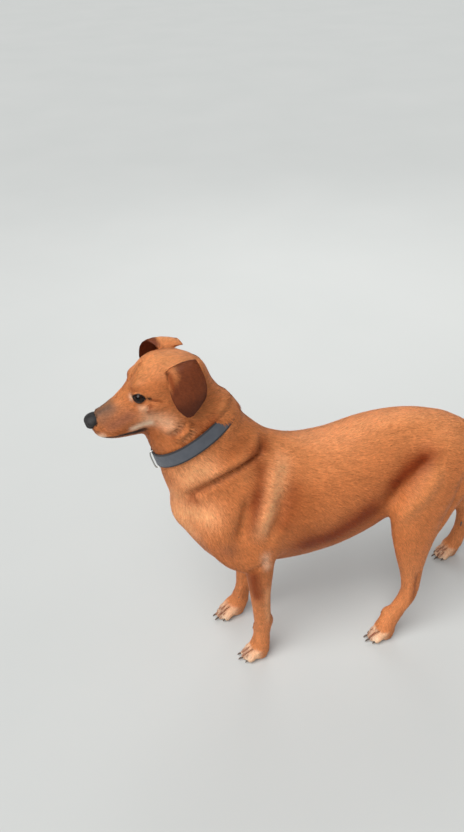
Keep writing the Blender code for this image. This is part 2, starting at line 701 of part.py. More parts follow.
def block(name, centre, size, tilt, group):
    """A box to cut with. tilt leans its top forward, in degrees."""
    bm = bmesh.new()
    place = Matrix.Translation(centre) @ Matrix.Rotation(math.radians(tilt), 4, "X")
    bmesh.ops.create_cube(bm, size=1.0)
    bmesh.ops.transform(bm, matrix=place @ Matrix.Diagonal((*size, 1)), verts=bm.verts)
    made = from_bmesh(name, bm, group)
    made.display_type = "WIRE"
    made.hide_render = True
    return made


def drop_slivers(obj):
    """Keep only the largest of the shells that a cut has left."""
    bm = bmesh.new()
    bm.from_mesh(obj.data)
    waiting = set(bm.verts)
    shells = []
    while waiting:
        shell = {waiting.pop()}
        edge_of_shell = list(shell)
        while edge_of_shell:
            vert = edge_of_shell.pop()
            near = {edge.other_vert(vert) for edge in vert.link_edges} & waiting
            waiting -= near
            shell |= near
            edge_of_shell.extend(near)
        shells.append(shell)
    shells.sort(key=len)
    bmesh.ops.delete(bm, geom=[vert for shell in shells[:-1] for vert in shell], context="VERTS")
    bm.to_mesh(obj.data)
    bm.free()


def part_off(flesh, name, centre, size, tilt, group, cutters):
    """Take the flesh inside a block as its own piece, and leave the rest a gap away from it."""
    piece = to_object(name, flesh.data.copy(), group)
    boolean(piece, block(f"{name}_block", centre, size, tilt, cutters), "INTERSECT")
    wider = [length + 2 * GAP for length in size]
    boolean(flesh, block(f"{name}_gap", centre, wider, tilt, cutters), "DIFFERENCE")
    drop_slivers(piece)


CUTS = (  # piece, centre, size, tilt; taken off in this order, and what is left is the trunk
    ("head", (0.0, -0.2197, 0.6388), (0.30, 0.30, 0.30), 57.2),
    ("neck", (0.0, -0.1102, 0.5597), (0.30, 0.36, 0.30), 29.0),
    ("tail", (0.0, 0.6080, 0.2500), (0.060, 0.30, 0.46), -7.0),
    ("paw_fore_left", (0.0610, 0.0100, -0.0300), (0.070, 0.090, 0.132), 0.0),
    ("paw_fore_right", (-0.0550, 0.0000, -0.0300), (0.070, 0.090, 0.132), 0.0),
    ("paw_hind_left", (0.0905, 0.2500, -0.0300), (0.070, 0.090, 0.132), 0.0),
    ("paw_hind_right", (-0.0760, 0.4800, -0.0300), (0.070, 0.090, 0.132), 0.0),
    ("foreleg_left", (0.0840, 0.0100, 0.0780), (0.100, 0.105, 0.350), 0.0),
    ("foreleg_right", (-0.0840, 0.0100, 0.0780), (0.100, 0.105, 0.350), 0.0),
    ("hindleg_left", (0.0810, 0.4150, 0.1189), (0.120, 0.400, 0.500), -12.0),
    ("hindleg_right", (-0.0810, 0.4150, 0.1189), (0.120, 0.400, 0.500), -12.0),
)

LOOKS = {  # first word of a node's name: (material, colour, roughness, metallic)
    "ear": ("dark_ear_coat", EAR_BROWN, 0.7, 0.0),
    "paw": ("cream_coat", CREAM, 0.75, 0.0),
    "eye": ("eye", EYE_BROWN, 0.08, 0.0),
    "nose": ("nose_leather", BLACK_SKIN, 0.35, 0.0),
    "claw": ("claw_horn", CLAW_HORN, 0.4, 0.0),
    "dewclaw": ("claw_horn", CLAW_HORN, 0.4, 0.0),
    "collar": ("webbing", WEBBING, 0.8, 0.0),
    "collar_ring": ("steel", STEEL, 0.25, 1.0),
    "collar_buckle": ("black_plastic", BLACK_SKIN, 0.4, 0.0),
}


def dress(obj, made):
    """Give a piece its material and smooth shading."""
    first = obj.name.split("_")[0]
    look = LOOKS.get(obj.name) or LOOKS.get(first) or ("coat", COAT, 0.75, 0.0)
    if look[0] not in made:
        made[look[0]] = material(*look)
    obj.data.materials.clear()
    obj.data.materials.append(made[look[0]])
    obj.data.shade_smooth()
    obj.data.set_sharp_from_angle(angle=math.radians(50))


def main():
    clear_scene()
    dog = collection("dog")
    cutters = collection("cutters", hidden=True)
    trunk_loft(dog)
    neck_loft(dog)
    head_masses(dog)
    foreleg(1, LEFT_FORE, dog)
    foreleg(-1, RIGHT_FORE, dog)
    hindleg(1, LEFT_HIND, HEELS[1], dog)
    hindleg(-1, RIGHT_HIND, HEELS[-1], dog)
    tail_loft(dog)
    for foot in FEET:
        foot_masses(foot, dog)
        dewclaw_mass(foot, dog)
    flesh = merged_body(dog)
    boolean(flesh, block("floor", (0, 0.2, -0.05), (0.4, 1.0, 0.1), 0, cutters), "DIFFERENCE")

    strap = collar(flesh, dog)
    collar_buckle(strap, dog)
    sunk = [nose(dog), strap, collar_ring(strap, dog)]
    skull = grown(flesh, GAP, "skull", cutters)
    for side in (1, -1):
        sunk.append(eye(side, dog))
        boolean(ear(side, *EAR_SETS[side], dog), skull, "DIFFERENCE")
    for foot in FEET:
        sunk.extend(claws(foot, dog))
    for piece in sunk:
        boolean(flesh, grown(piece, GAP, f"{piece.name}_room", cutters), "DIFFERENCE")

    for name, centre, size, tilt in CUTS:
        part_off(flesh, name, centre, size, tilt, dog, cutters)
    flesh.name = "trunk"
    drop_slivers(flesh)
    made = {}
    for obj in dog.objects:
        obj.data.transform(Matrix.Translation(-MIDDLE))
        dress(obj, made)
    for obj in list(cutters.objects):
        bpy.data.objects.remove(obj)


main()
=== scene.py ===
import heapq
import math

import bmesh
import bpy
import numpy as np
from mathutils import Matrix, Vector
from mathutils.bvhtree import BVHTree


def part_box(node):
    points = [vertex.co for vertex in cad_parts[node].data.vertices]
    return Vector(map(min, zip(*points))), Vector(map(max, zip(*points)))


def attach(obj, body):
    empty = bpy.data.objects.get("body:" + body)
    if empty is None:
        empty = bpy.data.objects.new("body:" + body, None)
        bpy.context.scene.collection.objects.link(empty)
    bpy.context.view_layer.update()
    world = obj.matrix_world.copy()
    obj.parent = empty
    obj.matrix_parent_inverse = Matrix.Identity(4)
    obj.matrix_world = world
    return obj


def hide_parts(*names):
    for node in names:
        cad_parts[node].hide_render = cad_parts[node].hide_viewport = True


# A standing, smooth-coated tan dog with drop ears and a webbing collar, life-size, as a museum shows.
# Metres, +Z up. It faces -Y and its left side is at +X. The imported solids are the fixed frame, out to
# the tips of the coat; the hide lies inside them, and the coat fills the depth between the two.

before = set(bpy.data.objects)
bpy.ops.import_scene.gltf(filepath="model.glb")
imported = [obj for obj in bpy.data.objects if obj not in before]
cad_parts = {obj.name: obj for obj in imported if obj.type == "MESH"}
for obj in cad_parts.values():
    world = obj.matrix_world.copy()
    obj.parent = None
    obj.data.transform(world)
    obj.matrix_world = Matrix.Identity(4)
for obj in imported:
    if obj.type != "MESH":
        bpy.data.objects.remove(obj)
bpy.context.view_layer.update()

# The hide ------------------------------------------------------------------------------------------
# One skin over head, ears, neck, trunk, tail, legs and paws, with no seam. It is drawn over the solids
# of flesh, softened where they are broad, and set inside them by the depth of the coat.

SIDES = ("left", "right")
LEGS = [f"{part}_{side}" for part in ("foreleg", "hindleg", "paw_fore", "paw_hind") for side in SIDES]
FLESH = ["head", "neck", "trunk", "tail", "ear_left", "ear_right", *LEGS]
HIDE_GRAIN = 0.002  # size of the squares that the hide is first made of
HIDE_TRIANGLES = 67000  # before it is cut finer where it is modelled
BODY_EDGE = 0.0095  # the longest that an edge stays on the body

COAT = {  # first word of a node: coat depth, then its tufts' length and width, and tufts per cm2
    "head": (0.0016, 0.0085, 0.00075, 110),
    "neck": (0.0028, 0.0150, 0.00100, 62),
    "trunk": (0.0030, 0.0155, 0.00105, 56),
    "tail": (0.0030, 0.0180, 0.00100, 60),
    "ear": (0.0007, 0.0050, 0.00060, 110),
    "foreleg": (0.0018, 0.0090, 0.00080, 80),
    "hindleg": (0.0022, 0.0110, 0.00085, 70),
    "paw": (0.0009, 0.0034, 0.00052, 190),
}

EAR_ROOT = 0.0016  # an ear's corners that are nearer to the skull than this are its root
HEAD_ROOT = np.array((-0.003, -0.223, 0.585))  # under the back of the skull
HEAD_DROP = math.radians(16)
HEAD_TURN = np.array((
    (0, -math.cos(HEAD_DROP), -math.sin(HEAD_DROP)),  # forward, to the nose
    (1, 0, 0),  # across, to its left
    (0, -math.sin(HEAD_DROP), math.cos(HEAD_DROP)),  # up from the crown
))


def in_head(points):
    """Points as the head sees them: forward, across, up."""
    return (points - HEAD_ROOT) @ HEAD_TURN.T


def on_head(places):
    return HEAD_ROOT + np.asarray(places, float) @ HEAD_TURN


def share(value, low, high):
    """How far value has come from low to high, eased at both ends and held between 0 and 1."""
    t = np.clip((value - low) / (high - low), 0, 1)
    return t * t * (3 - 2 * t)


def loose_copy(name, nodes):
    """One new object with copies of CAD nodes in it, their loose triangles joined at the corners."""
    bm = bmesh.new()
    for node in nodes:
        bm.from_mesh(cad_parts[node].data)
    bmesh.ops.remove_doubles(bm, verts=bm.verts, dist=0.00001)
    mesh = bpy.data.meshes.new(name)
    bm.to_mesh(mesh)
    bm.free()
    piece = bpy.data.objects.new(name, mesh)
    bpy.context.scene.collection.objects.link(piece)
    return piece


def pick(*pieces):
    bpy.ops.object.select_all(action="DESELECT")
    for piece in pieces:
        piece.select_set(True)
    bpy.context.view_layer.objects.active = pieces[0]


def worked(piece, kind, **settings):
    """Give a piece a modifier and apply it."""
    pick(piece)
    made = piece.modifiers.new(kind.lower(), kind)
    for key, value in settings.items():
        setattr(made, key, value)
    bpy.ops.object.modifier_apply(modifier=made.name)


def rounded(piece, levels=2):
    """Subdivide a piece smoothly, with its own corners staying about where they were."""
    kept, cage = corners(piece), piece.data.copy()
    worked(piece, "SUBSURF", levels=levels, render_levels=levels)
    drawn_in = corners(piece)[: len(kept)] - kept
    piece.data = cage
    put(piece, kept - 0.85 * drawn_in)
    worked(piece, "SUBSURF", levels=levels, render_levels=levels)


def read(items, what, size, kind=np.int32):
    """One kind of value from every item of a mesh, a row of the given size for each."""
    flat = np.empty(len(items) * size, kind)
    items.foreach_get(what, flat)
    return flat.reshape(-1, size)


def corners(piece, what="co"):
    return read(piece.data.vertices, what, 3, np.float32).astype(float)


def put(piece, points):
    piece.data.vertices.foreach_set("co", points.astype(np.float32).ravel())
    piece.data.update()


def edges_of(piece):
    return read(piece.data.edges, "vertices", 2)


def evened(values, edges, rounds, much=1.0):
    """Each round moves every corner's value half way, times much, to the mean of its neighbours'."""
    count = len(values)
    degree = np.maximum(np.bincount(edges.ravel(), minlength=count), 1)[:, None]
    start, end = edges.T
    flat = values.reshape(count, -1)
    pull = 0.5 * np.broadcast_to(np.asarray(much, float).reshape(-1, 1), (count, 1))
    for _ in range(rounds):
        columns = [np.bincount(start, flat[end, k], count) + np.bincount(end, flat[start, k], count)
                   for k in range(flat.shape[1])]
        total = np.stack(columns, axis=1)
        flat = flat + pull * (total / degree - flat)
    return flat.reshape(values.shape)


skull = BVHTree.FromObject(loose_copy("skull", ["head"]), bpy.context.evaluated_depsgraph_get())
ears = []
for side in SIDES:
    ear = loose_copy(f"ear_{side}_leather", [f"ear_{side}"])
    for vertex in ear.data.vertices:
        _, outward, _, away = skull.find_nearest(vertex.co)
        if away < EAR_ROOT:
            vertex.co -= outward * 0.006  # well into the skull
    rounded(ear)
    put(ear, corners(ear) - corners(ear, "normal") * COAT["ear"][0])
    ears.append(ear)
hide = loose_copy("hide", [*(node for node in FLESH if "ear" not in node), "eye_left", "eye_right", "nose"])
bpy.data.objects.remove(bpy.data.objects["skull"])
put(hide, corners(hide) + corners(hide, "normal") * 0.0003)
worked(hide, "REMESH", mode="VOXEL", voxel_size=HIDE_GRAIN)

owners = []
solid_corners, solid_faces = [], []
for node in FLESH:
    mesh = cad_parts[node].data
    base = len(solid_corners)
    solid_corners.extend(vertex.co for vertex in mesh.vertices)
    solid_faces.extend(tuple(base + i for i in face.vertices) for face in mesh.polygons)
    owners.extend([node] * len(mesh.polygons))
solids = BVHTree.FromPolygons(solid_corners, solid_faces)


def coat_at(piece, rounds):
    """The coat's figures at each corner of the hide, running softly from part to part."""
    found = [owners[solids.find_nearest(point)[2]].split("_")[0] for point in corners(piece)]
    rows = np.array([COAT[part] for part in found])
    return evened(rows, edges_of(piece), rounds), np.array(found)


parts = coat_at(hide, 0)[1]
points = corners(hide)
head_view = in_head(points)
broad = np.isin(parts, ("trunk", "neck")).astype(float)
broad *= 1 - share(head_view[:, 0], 0.010, 0.040) * share(head_view[:, 2], -0.09, -0.06)
links = edges_of(hide)
broad = evened(broad, links, 30)
points = evened(points, links, 120, broad)
points = evened(points, links, 14, np.where(parts == "ear", 0.3, 1.0))
put(hide, points)

# The broad parts keep larger triangles than the head, ears and paws. The face is then cut finer for
# its folds, and finer again round the eyes.
fine = np.maximum(share(head_view[:, 0], -0.01, 0.02) * share(head_view[:, 2], -0.08, -0.06), parts == "ear")
fine = evened(np.maximum(fine, parts == "paw"), links, 10)
plain = hide.vertex_groups.new(name="plain")
for index, weight in enumerate(1 - fine):
    plain.add([index], float(weight), "REPLACE")
worked(hide, "DECIMATE", ratio=HIDE_TRIANGLES / (2 * len(hide.data.polygons)), vertex_group="plain",
       vertex_group_factor=1.0, use_collapse_triangulate=True)
hide.vertex_groups.clear()
figures, parts = coat_at(hide, 6)
points = corners(hide) - corners(hide, "normal") * figures[:, :1]
put(hide, points)
for ear in ears:
    worked(hide, "BOOLEAN", operation="UNION", object=ear, solver="MANIFOLD")
    bpy.data.objects.remove(ear)


def cut_finer(piece, wanted, longest=0.0):
    """Halve every edge over the given length between corners that are wanted."""
    bm = bmesh.new()
    bm.from_mesh(piece.data)
    inside = wanted(np.array([vertex.co for vertex in bm.verts]))
    chosen = [edge for edge in bm.edges
              if edge.calc_length() > longest and all(inside[vertex.index] for vertex in edge.verts)]
    bmesh.ops.subdivide_edges(bm, edges=chosen, cuts=1, use_grid_fill=True)
    bmesh.ops.triangulate(bm, faces=bm.faces)
    bm.to_mesh(piece.data)
    bm.free()
    piece.data.update()


def is_face(points):
    """Round the lips and the eyes, where the folds are finest."""
    forward, across, up = in_head(points).T
    lips = (forward > 0.108) & (up > -0.044) & (up < -0.012)
    lids = np.hypot(forward - 0.096, up - 0.020) < 0.022
    return (lips | lids) & (np.abs(across) < 0.05)


def is_body(points):
    forward, _, up = in_head(points).T
    return (forward < 0.02) | (up < -0.07)


for _ in range(3):
    cut_finer(hide, is_body, longest=BODY_EDGE)
points = corners(hide)
put(hide, evened(points, edges_of(hide), 4, 0.6 * is_body(points) * (points[:, 2] > 0.05)))
cut_finer(hide, is_face)
points = corners(hide)
put(hide, evened(points, edges_of(hide), 5, is_face(points)))

# The hide's modelling ------------------------------------------------------------------------------
# Muscles, hollows and folds that show through a short coat. Each is a soft ridge or groove along a line
# over the skin. They are given on its left side and repeated on its right.

MIDDLE = -0.003  # its mid-plane
# Each line's width, its height, which is below zero for a groove, and its places, all in millimetres.
FACE_LINES = {  # forward, across and up in the head
    "brow": (5, 2.2, ((99, 13, 36.5), (98.5, 22.5, 37.5), (92.5, 31, 36.5), (84, 37, 28))),
    "furrow": (4.5, -1.2, ((108, 0, 32), (90, 0, 44), (68, 0, 50))),
    "stop": (7, -1.4, ((115, 17.5, 19), (124, 18, 11))),
    "bridge": (3.5, 0.7, ((113, 8.5, 27), (135, 8, 23), (152, 8, 18))),
    "cheekbone": (6, 1.4, ((103, 29, 0), (85, 37, 0), (66, 43, 2))),
    "behind eye": (2, -1.3, ((85, 37.6, 15), (75, 42.1, 9.2))),
    "below eye": (2, -1.3, ((88.5, 38, 9), (99.5, 34, -4.6))),
    "whisker bed": (7, 1.2, ((168, 19, -12), (150, 20, -17), (133, 20.5, -19))),
    "cheek fold": (3.4, -6.2, ((82.7, 43.8, -52.3), (61.8, 49.3, -45.6), (50.9, 48.8, -33.8),
                               (52.7, 47.4, -22.1))),
    "cheek": (6, 3, ((85, 43, -43), (68, 47, -38), (60, 47, -28))),
    "throat fold": (3.6, -6.2, ((35.3, 49.5, -39.7), (45.3, 51.7, -56.8), (61.1, 51.5, -64.6),
                                (75.1, 49, -73))),
    "dewlap": (4.5, 3.4, ((44, 50, -48), (56, 51, -56), (72, 49, -63))),
}
BODY_LINES = {  # as they are on the model
    "neck crease": (7, -9, ((22, -135, 468), (43, -142, 447), (53, -165, 443), (60, -213, 428),
                            (56, -240, 412), (46, -263, 396), (34, -274, 382))),
    "neck roll": (8.5, 4.4, ((23, -144, 479), (45, -154, 459), (56, -177, 452), (60, -213, 441),
                             (56, -242, 426))),
    "shoulder ridge": (14, 7.6, ((33, -112, 438), (53, -127, 411), (69, -139, 374), (80, -155, 335),
                                 (82, -163, 317))),
    "before the shoulder": (10, -8.6, ((70, -171, 383), (75, -182, 349), (76, -192, 310))),
    "behind the shoulder": (11, -8.6, ((65, -111, 385), (77, -123, 345), (84, -146, 293))),
    "shoulder point": (14, 4.6, ((72, -215, 335), (79, -217, 319), (78, -213, 300))),
    "elbow crease": (5, -4.4, ((82, -178, 240), (86, -158, 247), (85, -145, 260))),
    "flank fold": (14, -9.5, ((68, 147, 397), (75, 123, 377), (78, 102, 353), (75, 84, 327),
                              (71, 67, 306))),
    "thigh": (13, 5.2, ((80, 158, 372), (91, 129, 334), (92, 103, 309), (85, 86, 286))),
    "back of the thigh": (9, -4.5, ((85, 215, 350), (93, 190, 290), (96, 160, 235))),
}
LOW_LINES = {  # below the knee the two sides stand apart, so each leg has its own
    "left hock": (4.2, -3.2, ((100.2, 130.1, 165.5), (99.6, 131, 119.9), (100.4, 126.9, 96.4))),
}


def in_metres(places):
    return np.array(places, float) / 1000


FACE_LINES, BODY_LINES, LOW_LINES = (
    {name: (width / 1000, height / 1000, in_metres(path)) for name, (width, height, path) in lines.items()}
    for lines in (FACE_LINES, BODY_LINES, LOW_LINES)
)
LINE_TAPER = 0.25  # the share of a line over which it fades at each end
LIPS = in_metres(((115.2, 23.8, -33), (122.1, 21.2, -35), (133, 20.6, -33.8), (145, 20.8, -31.2),
                  (155.7, 20.9, -29), (165.3, 20.5, -26.2), (170.4, 19, -24.6), (175.5, 13, -23.6),
                  (178.2, 5, -23.5)))

FEET = {  # where each stands, its half width, the reach of its toes, and how far it turns out
    "fore_left": ((0.0580, -0.1605), 0.0215, 0.031, -6),
    "fore_right": ((-0.0580, -0.1750), 0.0215, 0.036, 8),
    "hind_left": ((0.0875, 0.0785), 0.0195, 0.031, -4),
    "hind_right": ((-0.0790, 0.3040), 0.0195, 0.031, 6),
}
TOES = ((-0.82, 0.30), (-0.30, 0.62), (0.30, 0.62), (0.82, 0.30))  # across and forward


def foot_point(foot, across, forward, up):
    """A place on a foot: across it and forward as shares of its own size, and metres up."""
    (x, y), half, reach, turn = FEET[foot]
    turn = math.radians(turn)
    aside, back = across * half * 0.78, -forward * reach
    x += aside * math.cos(turn) - back * math.sin(turn)
    y += aside * math.sin(turn) + back * math.cos(turn)
    return x, y, up


def is_toes(points):
    """The front of each foot, above its pads."""
    found = np.zeros(len(points), bool)
    for foot in FEET:
        x, y, _ = foot_point(foot, 0, 0.85, 0)
        found |= (np.hypot(points[:, 0] - x, points[:, 1] - y) < 0.024) & (points[:, 2] < 0.028)
    return found & (points[:, 2] > 0.0012)


cut_finer(hide, is_toes)


def between_toes(foot):
    """The three grooves that part a foot's toes."""
    for across in (-0.56, 0.0, 0.56):
        yield [foot_point(foot, across * 0.8, 0.25, 0.030), foot_point(foot, across, 0.45, 0.027),
               foot_point(foot, across * 1.05, 0.95, 0.016), foot_point(foot, across * 1.05, 1.10, 0.003)]


def mirrored(path, side):
    """A line over the model's left, or the same one over its right."""
    path = np.array(path, float)
    if side == "right":
        path[:, 0] = 2 * MIDDLE - path[:, 0]
    return path


def drawn(path, step):
    """A line through the given places, with a point at each step, rounded at its corners."""
    path = np.asarray(path, float)
    reach = np.concatenate([[0], np.cumsum(np.linalg.norm(np.diff(path, axis=0), axis=1))])
    count = max(int(reach[-1] / step), 4)
    places = np.linspace(0, reach[-1], count)
    line = np.stack([np.interp(places, reach, path[:, k]) for k in range(3)], axis=1)
    for _ in range(count // 8):
        line[1:-1] = (line[:-2] + 2 * line[1:-1] + line[2:]) / 4
    return line


def nearness(points, skin, path, width, taper=LINE_TAPER):
    """1 on a line over the skin, gone at about twice its width, and fading towards its ends."""
    line = np.array([skin.find_nearest(Vector(place))[0] for place in drawn(path, width / 3)])
    near = ((points > line.min(0) - 3 * width) & (points < line.max(0) + 3 * width)).all(axis=1)
    near = np.flatnonzero(near)
    gaps = np.linalg.norm(points[near, None] - line[None], axis=2)
    along = np.linspace(0, 1, len(line))
    strength = share(along, -0.05, taper) * share(1 - along, -0.05, taper)
    weight = np.zeros(len(points))
    weight[near] = (np.exp(-((gaps / width) ** 2)) * strength).max(axis=1)
    return weight


def skin_of(piece):
    return BVHTree.FromObject(piece, bpy.context.evaluated_depsgraph_get())


def modelled(piece, strokes):
    """Raise and lower the skin along each stroke: its path, width, height and taper."""
    points, skin = corners(piece), skin_of(piece)
    rise = sum(height * nearness(points, skin, path, width, taper) for path, width, height, taper in strokes)
    put(piece, points + corners(piece, "normal") * rise[:, None])


def raised(path, by):
    """The same line on the head, a little higher."""
    return [(forward, across, up + by) for forward, across, up in path]


def rough_frame(points):
    """The middle of some points, and their axes from the longest to the shortest."""
    middle = points.mean(axis=0)
    return middle, np.linalg.svd(points - middle, full_matrices=False)[2]


def round_strap(points):
    """How far round the neck, how far across the strap towards the head, and how far from its middle."""
    rays = points - strap_middle
    one, other = rays @ strap_axes[0], rays @ strap_axes[1]
    return np.arctan2(other, one), rays @ strap_axes[2], np.hypot(one, other)


strap = loose_copy("collar_webbing", ["collar"])
strap_middle, strap_axes = rough_frame(corners(strap))
strap_axes[2] *= np.sign(strap_axes[2] @ HEAD_TURN[0])
NAPE = 0.512  # above this the loose skin of the neck rises on both sides of the strap
top = corners(strap)
top = top - np.outer(round_strap(top)[1], strap_axes[2])
top = top[top[:, 2] > NAPE]
top = top[np.argsort(top[:, 0])]
RUFF = 0.0165 * strap_axes[2]  # from the middle of the strap to the ridge of loose skin beside it
strokes = [(top + RUFF, 0.0095, 0.0056, 0.12), (top - RUFF, 0.0095, 0.0050, 0.12)]


def near_folds(points):
    """Where the larger folds of the body run."""
    skin = skin_of(hide)
    found = [nearness(points, skin, mirrored(path, side), 1.2 * width)
             for width, _, path in BODY_LINES.values() for side in SIDES]
    return np.max(found, axis=0) > 0.25


cut_finer(hide, near_folds)
for side in SIDES:
    for width, height, path in FACE_LINES.values():
        strokes.append((mirrored(on_head(path), side), width, height, LINE_TAPER))
    for width, height, path in BODY_LINES.values():
        strokes.append((mirrored(path, side), width, height, LINE_TAPER))
strokes += [(path, width, height, LINE_TAPER) for width, height, path in LOW_LINES.values()]
for foot in FEET:
    for groove in between_toes(foot):
        strokes.append((groove, 0.0026, -0.0062, 0.15))
    for across, forward in TOES:
        knuckle = [foot_point(foot, across, forward + by, up) for by, up in ((-0.34, 0.027), (-0.20, 0.025))]
        toe_end = [foot_point(foot, across, forward + by, up) for by, up in ((0.10, 0.014), (0.26, 0.009))]
        strokes += [(knuckle, 0.0046, 0.0026, 0.01), (toe_end, 0.0044, 0.0028, 0.01)]
    low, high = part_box(f"dewclaw_{foot}")
    dew = [((low[0] + high[0]) / 2, (low[1] + high[1]) / 2, up) for up in (high[2] + 0.004, low[2] + 0.003)]
    strokes.append((dew, 0.0060, 0.0050, 0.01))
modelled(hide, strokes)

mouth = [*LIPS, *((forward, -across, up) for forward, across, up in reversed(LIPS))]
modelled(hide, [
    (on_head(raised(mouth, 0.0036)), 0.0030, 0.0011, 0.12),
    (on_head(raised(mouth, -0.0030)), 0.0022, 0.0004, 0.12),
])
modelled(hide, [(on_head(mouth), 0.0013, -0.0024, 0.05)])

# The eyes ------------------------------------------------------------------------------------------
# Dark brown balls, set in the skull. The lids are the hide itself, drawn over the ball round an opening
# that is pointed at both corners, with a wet black rim turned in against the ball.

EYE_RADIUS = 0.0103
LID_THICK = 0.0009
EYE_LENGTH = 0.0112  # from the middle of the opening to a corner, over the ball
EYE_UPPER, EYE_LOWER = 0.0062, 0.0056  # from the middle to each lid
LID_REACH = 0.0140  # round the middle of the opening, where the skin is fine enough to shape
EYE_GAZE = (0.36, 0.87, 0.33)  # the left eye's, in the head
EYE_SLANT = (0.0235, -0.0170, 0.0088)  # from its rear corner to its front one


class Eye:
    """Where one eye sits, and how its opening lies on it."""

    def __init__(self, side):
        flip = np.array((1, 1 if side == "left" else -1, 1))
        low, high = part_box(f"eye_{side}")
        self.seat = (np.array(low) + np.array(high)) / 2
        gaze = (np.array(EYE_GAZE) * flip) @ HEAD_TURN
        slant = (np.array(EYE_SLANT) * flip) @ HEAD_TURN
        self.gaze = gaze / np.linalg.norm(gaze)
        slant -= self.gaze * (slant @ self.gaze)
        self.front = slant / np.linalg.norm(slant)
        self.up = np.cross(self.gaze, self.front)
        self.up *= np.sign(self.up[2])

    def over_ball(self, points):
        """Each point's distance from the eye's centre, and its place over the ball, forward and up."""
        rays = points - self.seat
        away = np.linalg.norm(rays, axis=1)
        rays = rays / away[:, None]
        turn = np.arccos(np.clip(rays @ self.gaze, -1, 1)) * EYE_RADIUS
        flat = np.stack([rays @ self.front, rays @ self.up], axis=1)
        flat /= np.maximum(np.linalg.norm(flat, axis=1), 1e-9)[:, None]
        return away, flat[:, 0] * turn, flat[:, 1] * turn

    def from_ball(self, away, forward, up):
        turn = np.hypot(forward, up)
        flat = (np.outer(forward, self.front) + np.outer(up, self.up)) / np.maximum(turn, 1e-9)[:, None]
        turn = turn[:, None] / EYE_RADIUS
        return self.seat + (flat * np.sin(turn) + self.gaze * np.cos(turn)) * np.reshape(away, (-1, 1))

    def opening(self, forward, up):
        """1 on the edge of the lids, less between them and more outside."""
        return np.abs(up) / np.where(up > 0, EYE_UPPER, EYE_LOWER) + (forward / EYE_LENGTH) ** 2

    def even_edge(self, forward, up):
        """As many places as are given, evenly spaced along the edge of the lids, from the first one on."""
        turn = np.linspace(0, 2 * math.pi, 721)
        edge = np.stack([np.cos(turn) * EYE_LENGTH, np.sin(turn)], axis=1)
        edge[:, 1] = np.sign(edge[:, 1]) * (1 - (edge[:, 0] / EYE_LENGTH) ** 2)
        edge[:, 1] *= np.where(edge[:, 1] > 0, EYE_UPPER, EYE_LOWER)
        reach = np.concatenate([[0], np.cumsum(np.linalg.norm(np.diff(edge, axis=0), axis=1))])
        first = reach[np.hypot(edge[:, 0] - forward[0], edge[:, 1] - up[0]).argmin()]
        spin = np.sign(np.sum(forward * np.roll(up, -1) - up * np.roll(forward, -1)))
        wanted = (first + spin * reach[-1] * np.arange(len(up)) / len(up)) % reach[-1]
        return np.interp(wanted, reach, edge[:, 0]), np.interp(wanted, reach, edge[:, 1])


def in_order(rim):
    """The corners of one closed loop of edges, one after another."""
    edge = rim[0]
    ring = [edge.verts[0]]
    loop = set(rim)
    while len(ring) < len(rim):
        ring.append(edge.other_vert(ring[-1]))
        edge = next(item for item in ring[-1].link_edges if item in loop and item is not edge)
    return ring


def open_lids(eye):
    middle = eye.seat + eye.gaze * EYE_RADIUS
    cut_finer(hide, lambda points: np.linalg.norm(points - middle, axis=1) < LID_REACH)
    points = corners(hide)
    away, forward, up = eye.over_ball(points)
    measure = eye.opening(forward, up)
    facing = (points - eye.seat) @ eye.gaze > 0
    near = facing * (1 - share(np.linalg.norm(points - middle, axis=1), 0.013, 0.019))
    hold = near * (1 - share(measure, 1.05, 2.6))
    wanted = EYE_RADIUS + LID_THICK
    wanted = wanted - 0.0008 * np.exp(-(((measure - 1.75) / 0.22) ** 2)) * (up > 0) * share(up, 0, 0.002)
    wanted = wanted - 0.0005 * np.exp(-(((measure - 1.80) / 0.25) ** 2)) * (up < 0)
    points = eye.seat + (points - eye.seat) * ((away + (wanted - away) * hold) / away)[:, None]
    put(hide, points)
    bm = bmesh.new()
    bm.from_mesh(hide.data)
    bm.faces.ensure_lookup_table()
    middles = np.array([face.calc_center_median() for face in bm.faces])
    away, forward, up = eye.over_ball(middles)
    gone = (eye.opening(forward, up) < 1) & ((middles - eye.seat) @ eye.gaze > 0) & (away < 0.02)
    bmesh.ops.delete(bm, geom=[bm.faces[i] for i in np.flatnonzero(gone)], context="FACES")
    rim = [edge for edge in bm.edges if edge.is_boundary]
    for depth, widen in ((0, 1.0), (0.0009, 1.0), (0.0024, 1.02)):
        if depth:
            rim = bmesh.ops.extrude_edge_only(bm, edges=rim)["geom"]
            rim = [item for item in rim if isinstance(item, bmesh.types.BMEdge)]
        ring = in_order(rim)
        places = np.array([vertex.co for vertex in ring])
        _, forward, up = eye.over_ball(places)
        forward, up = eye.even_edge(forward, up)
        away = np.full(len(ring), EYE_RADIUS + LID_THICK - depth)
        for vertex, place in zip(ring, eye.from_ball(away, forward * widen, up * widen)):
            vertex.co = place
    rim = bmesh.ops.extrude_edge_only(bm, edges=rim)["geom"]
    bmesh.ops.pointmerge(bm, verts=[item for item in rim if isinstance(item, bmesh.types.BMVert)],
                         merge_co=Vector(eye.seat))
    bmesh.ops.recalc_face_normals(bm, faces=bm.faces)
    if bm.calc_volume(signed=True) < 0:
        bmesh.ops.reverse_faces(bm, faces=bm.faces)
    bm.to_mesh(hide.data)
    bm.free()
    hide.data.update()
    points = corners(hide)
    away, forward, up = eye.over_ball(points)
    lid = (np.linalg.norm(points - middle, axis=1) < 0.015) & (eye.opening(forward, up) > 1.03)
    lid &= away > EYE_RADIUS + LID_THICK / 2
    put(hide, evened(points, edges_of(hide), 8, 0.7 * lid))


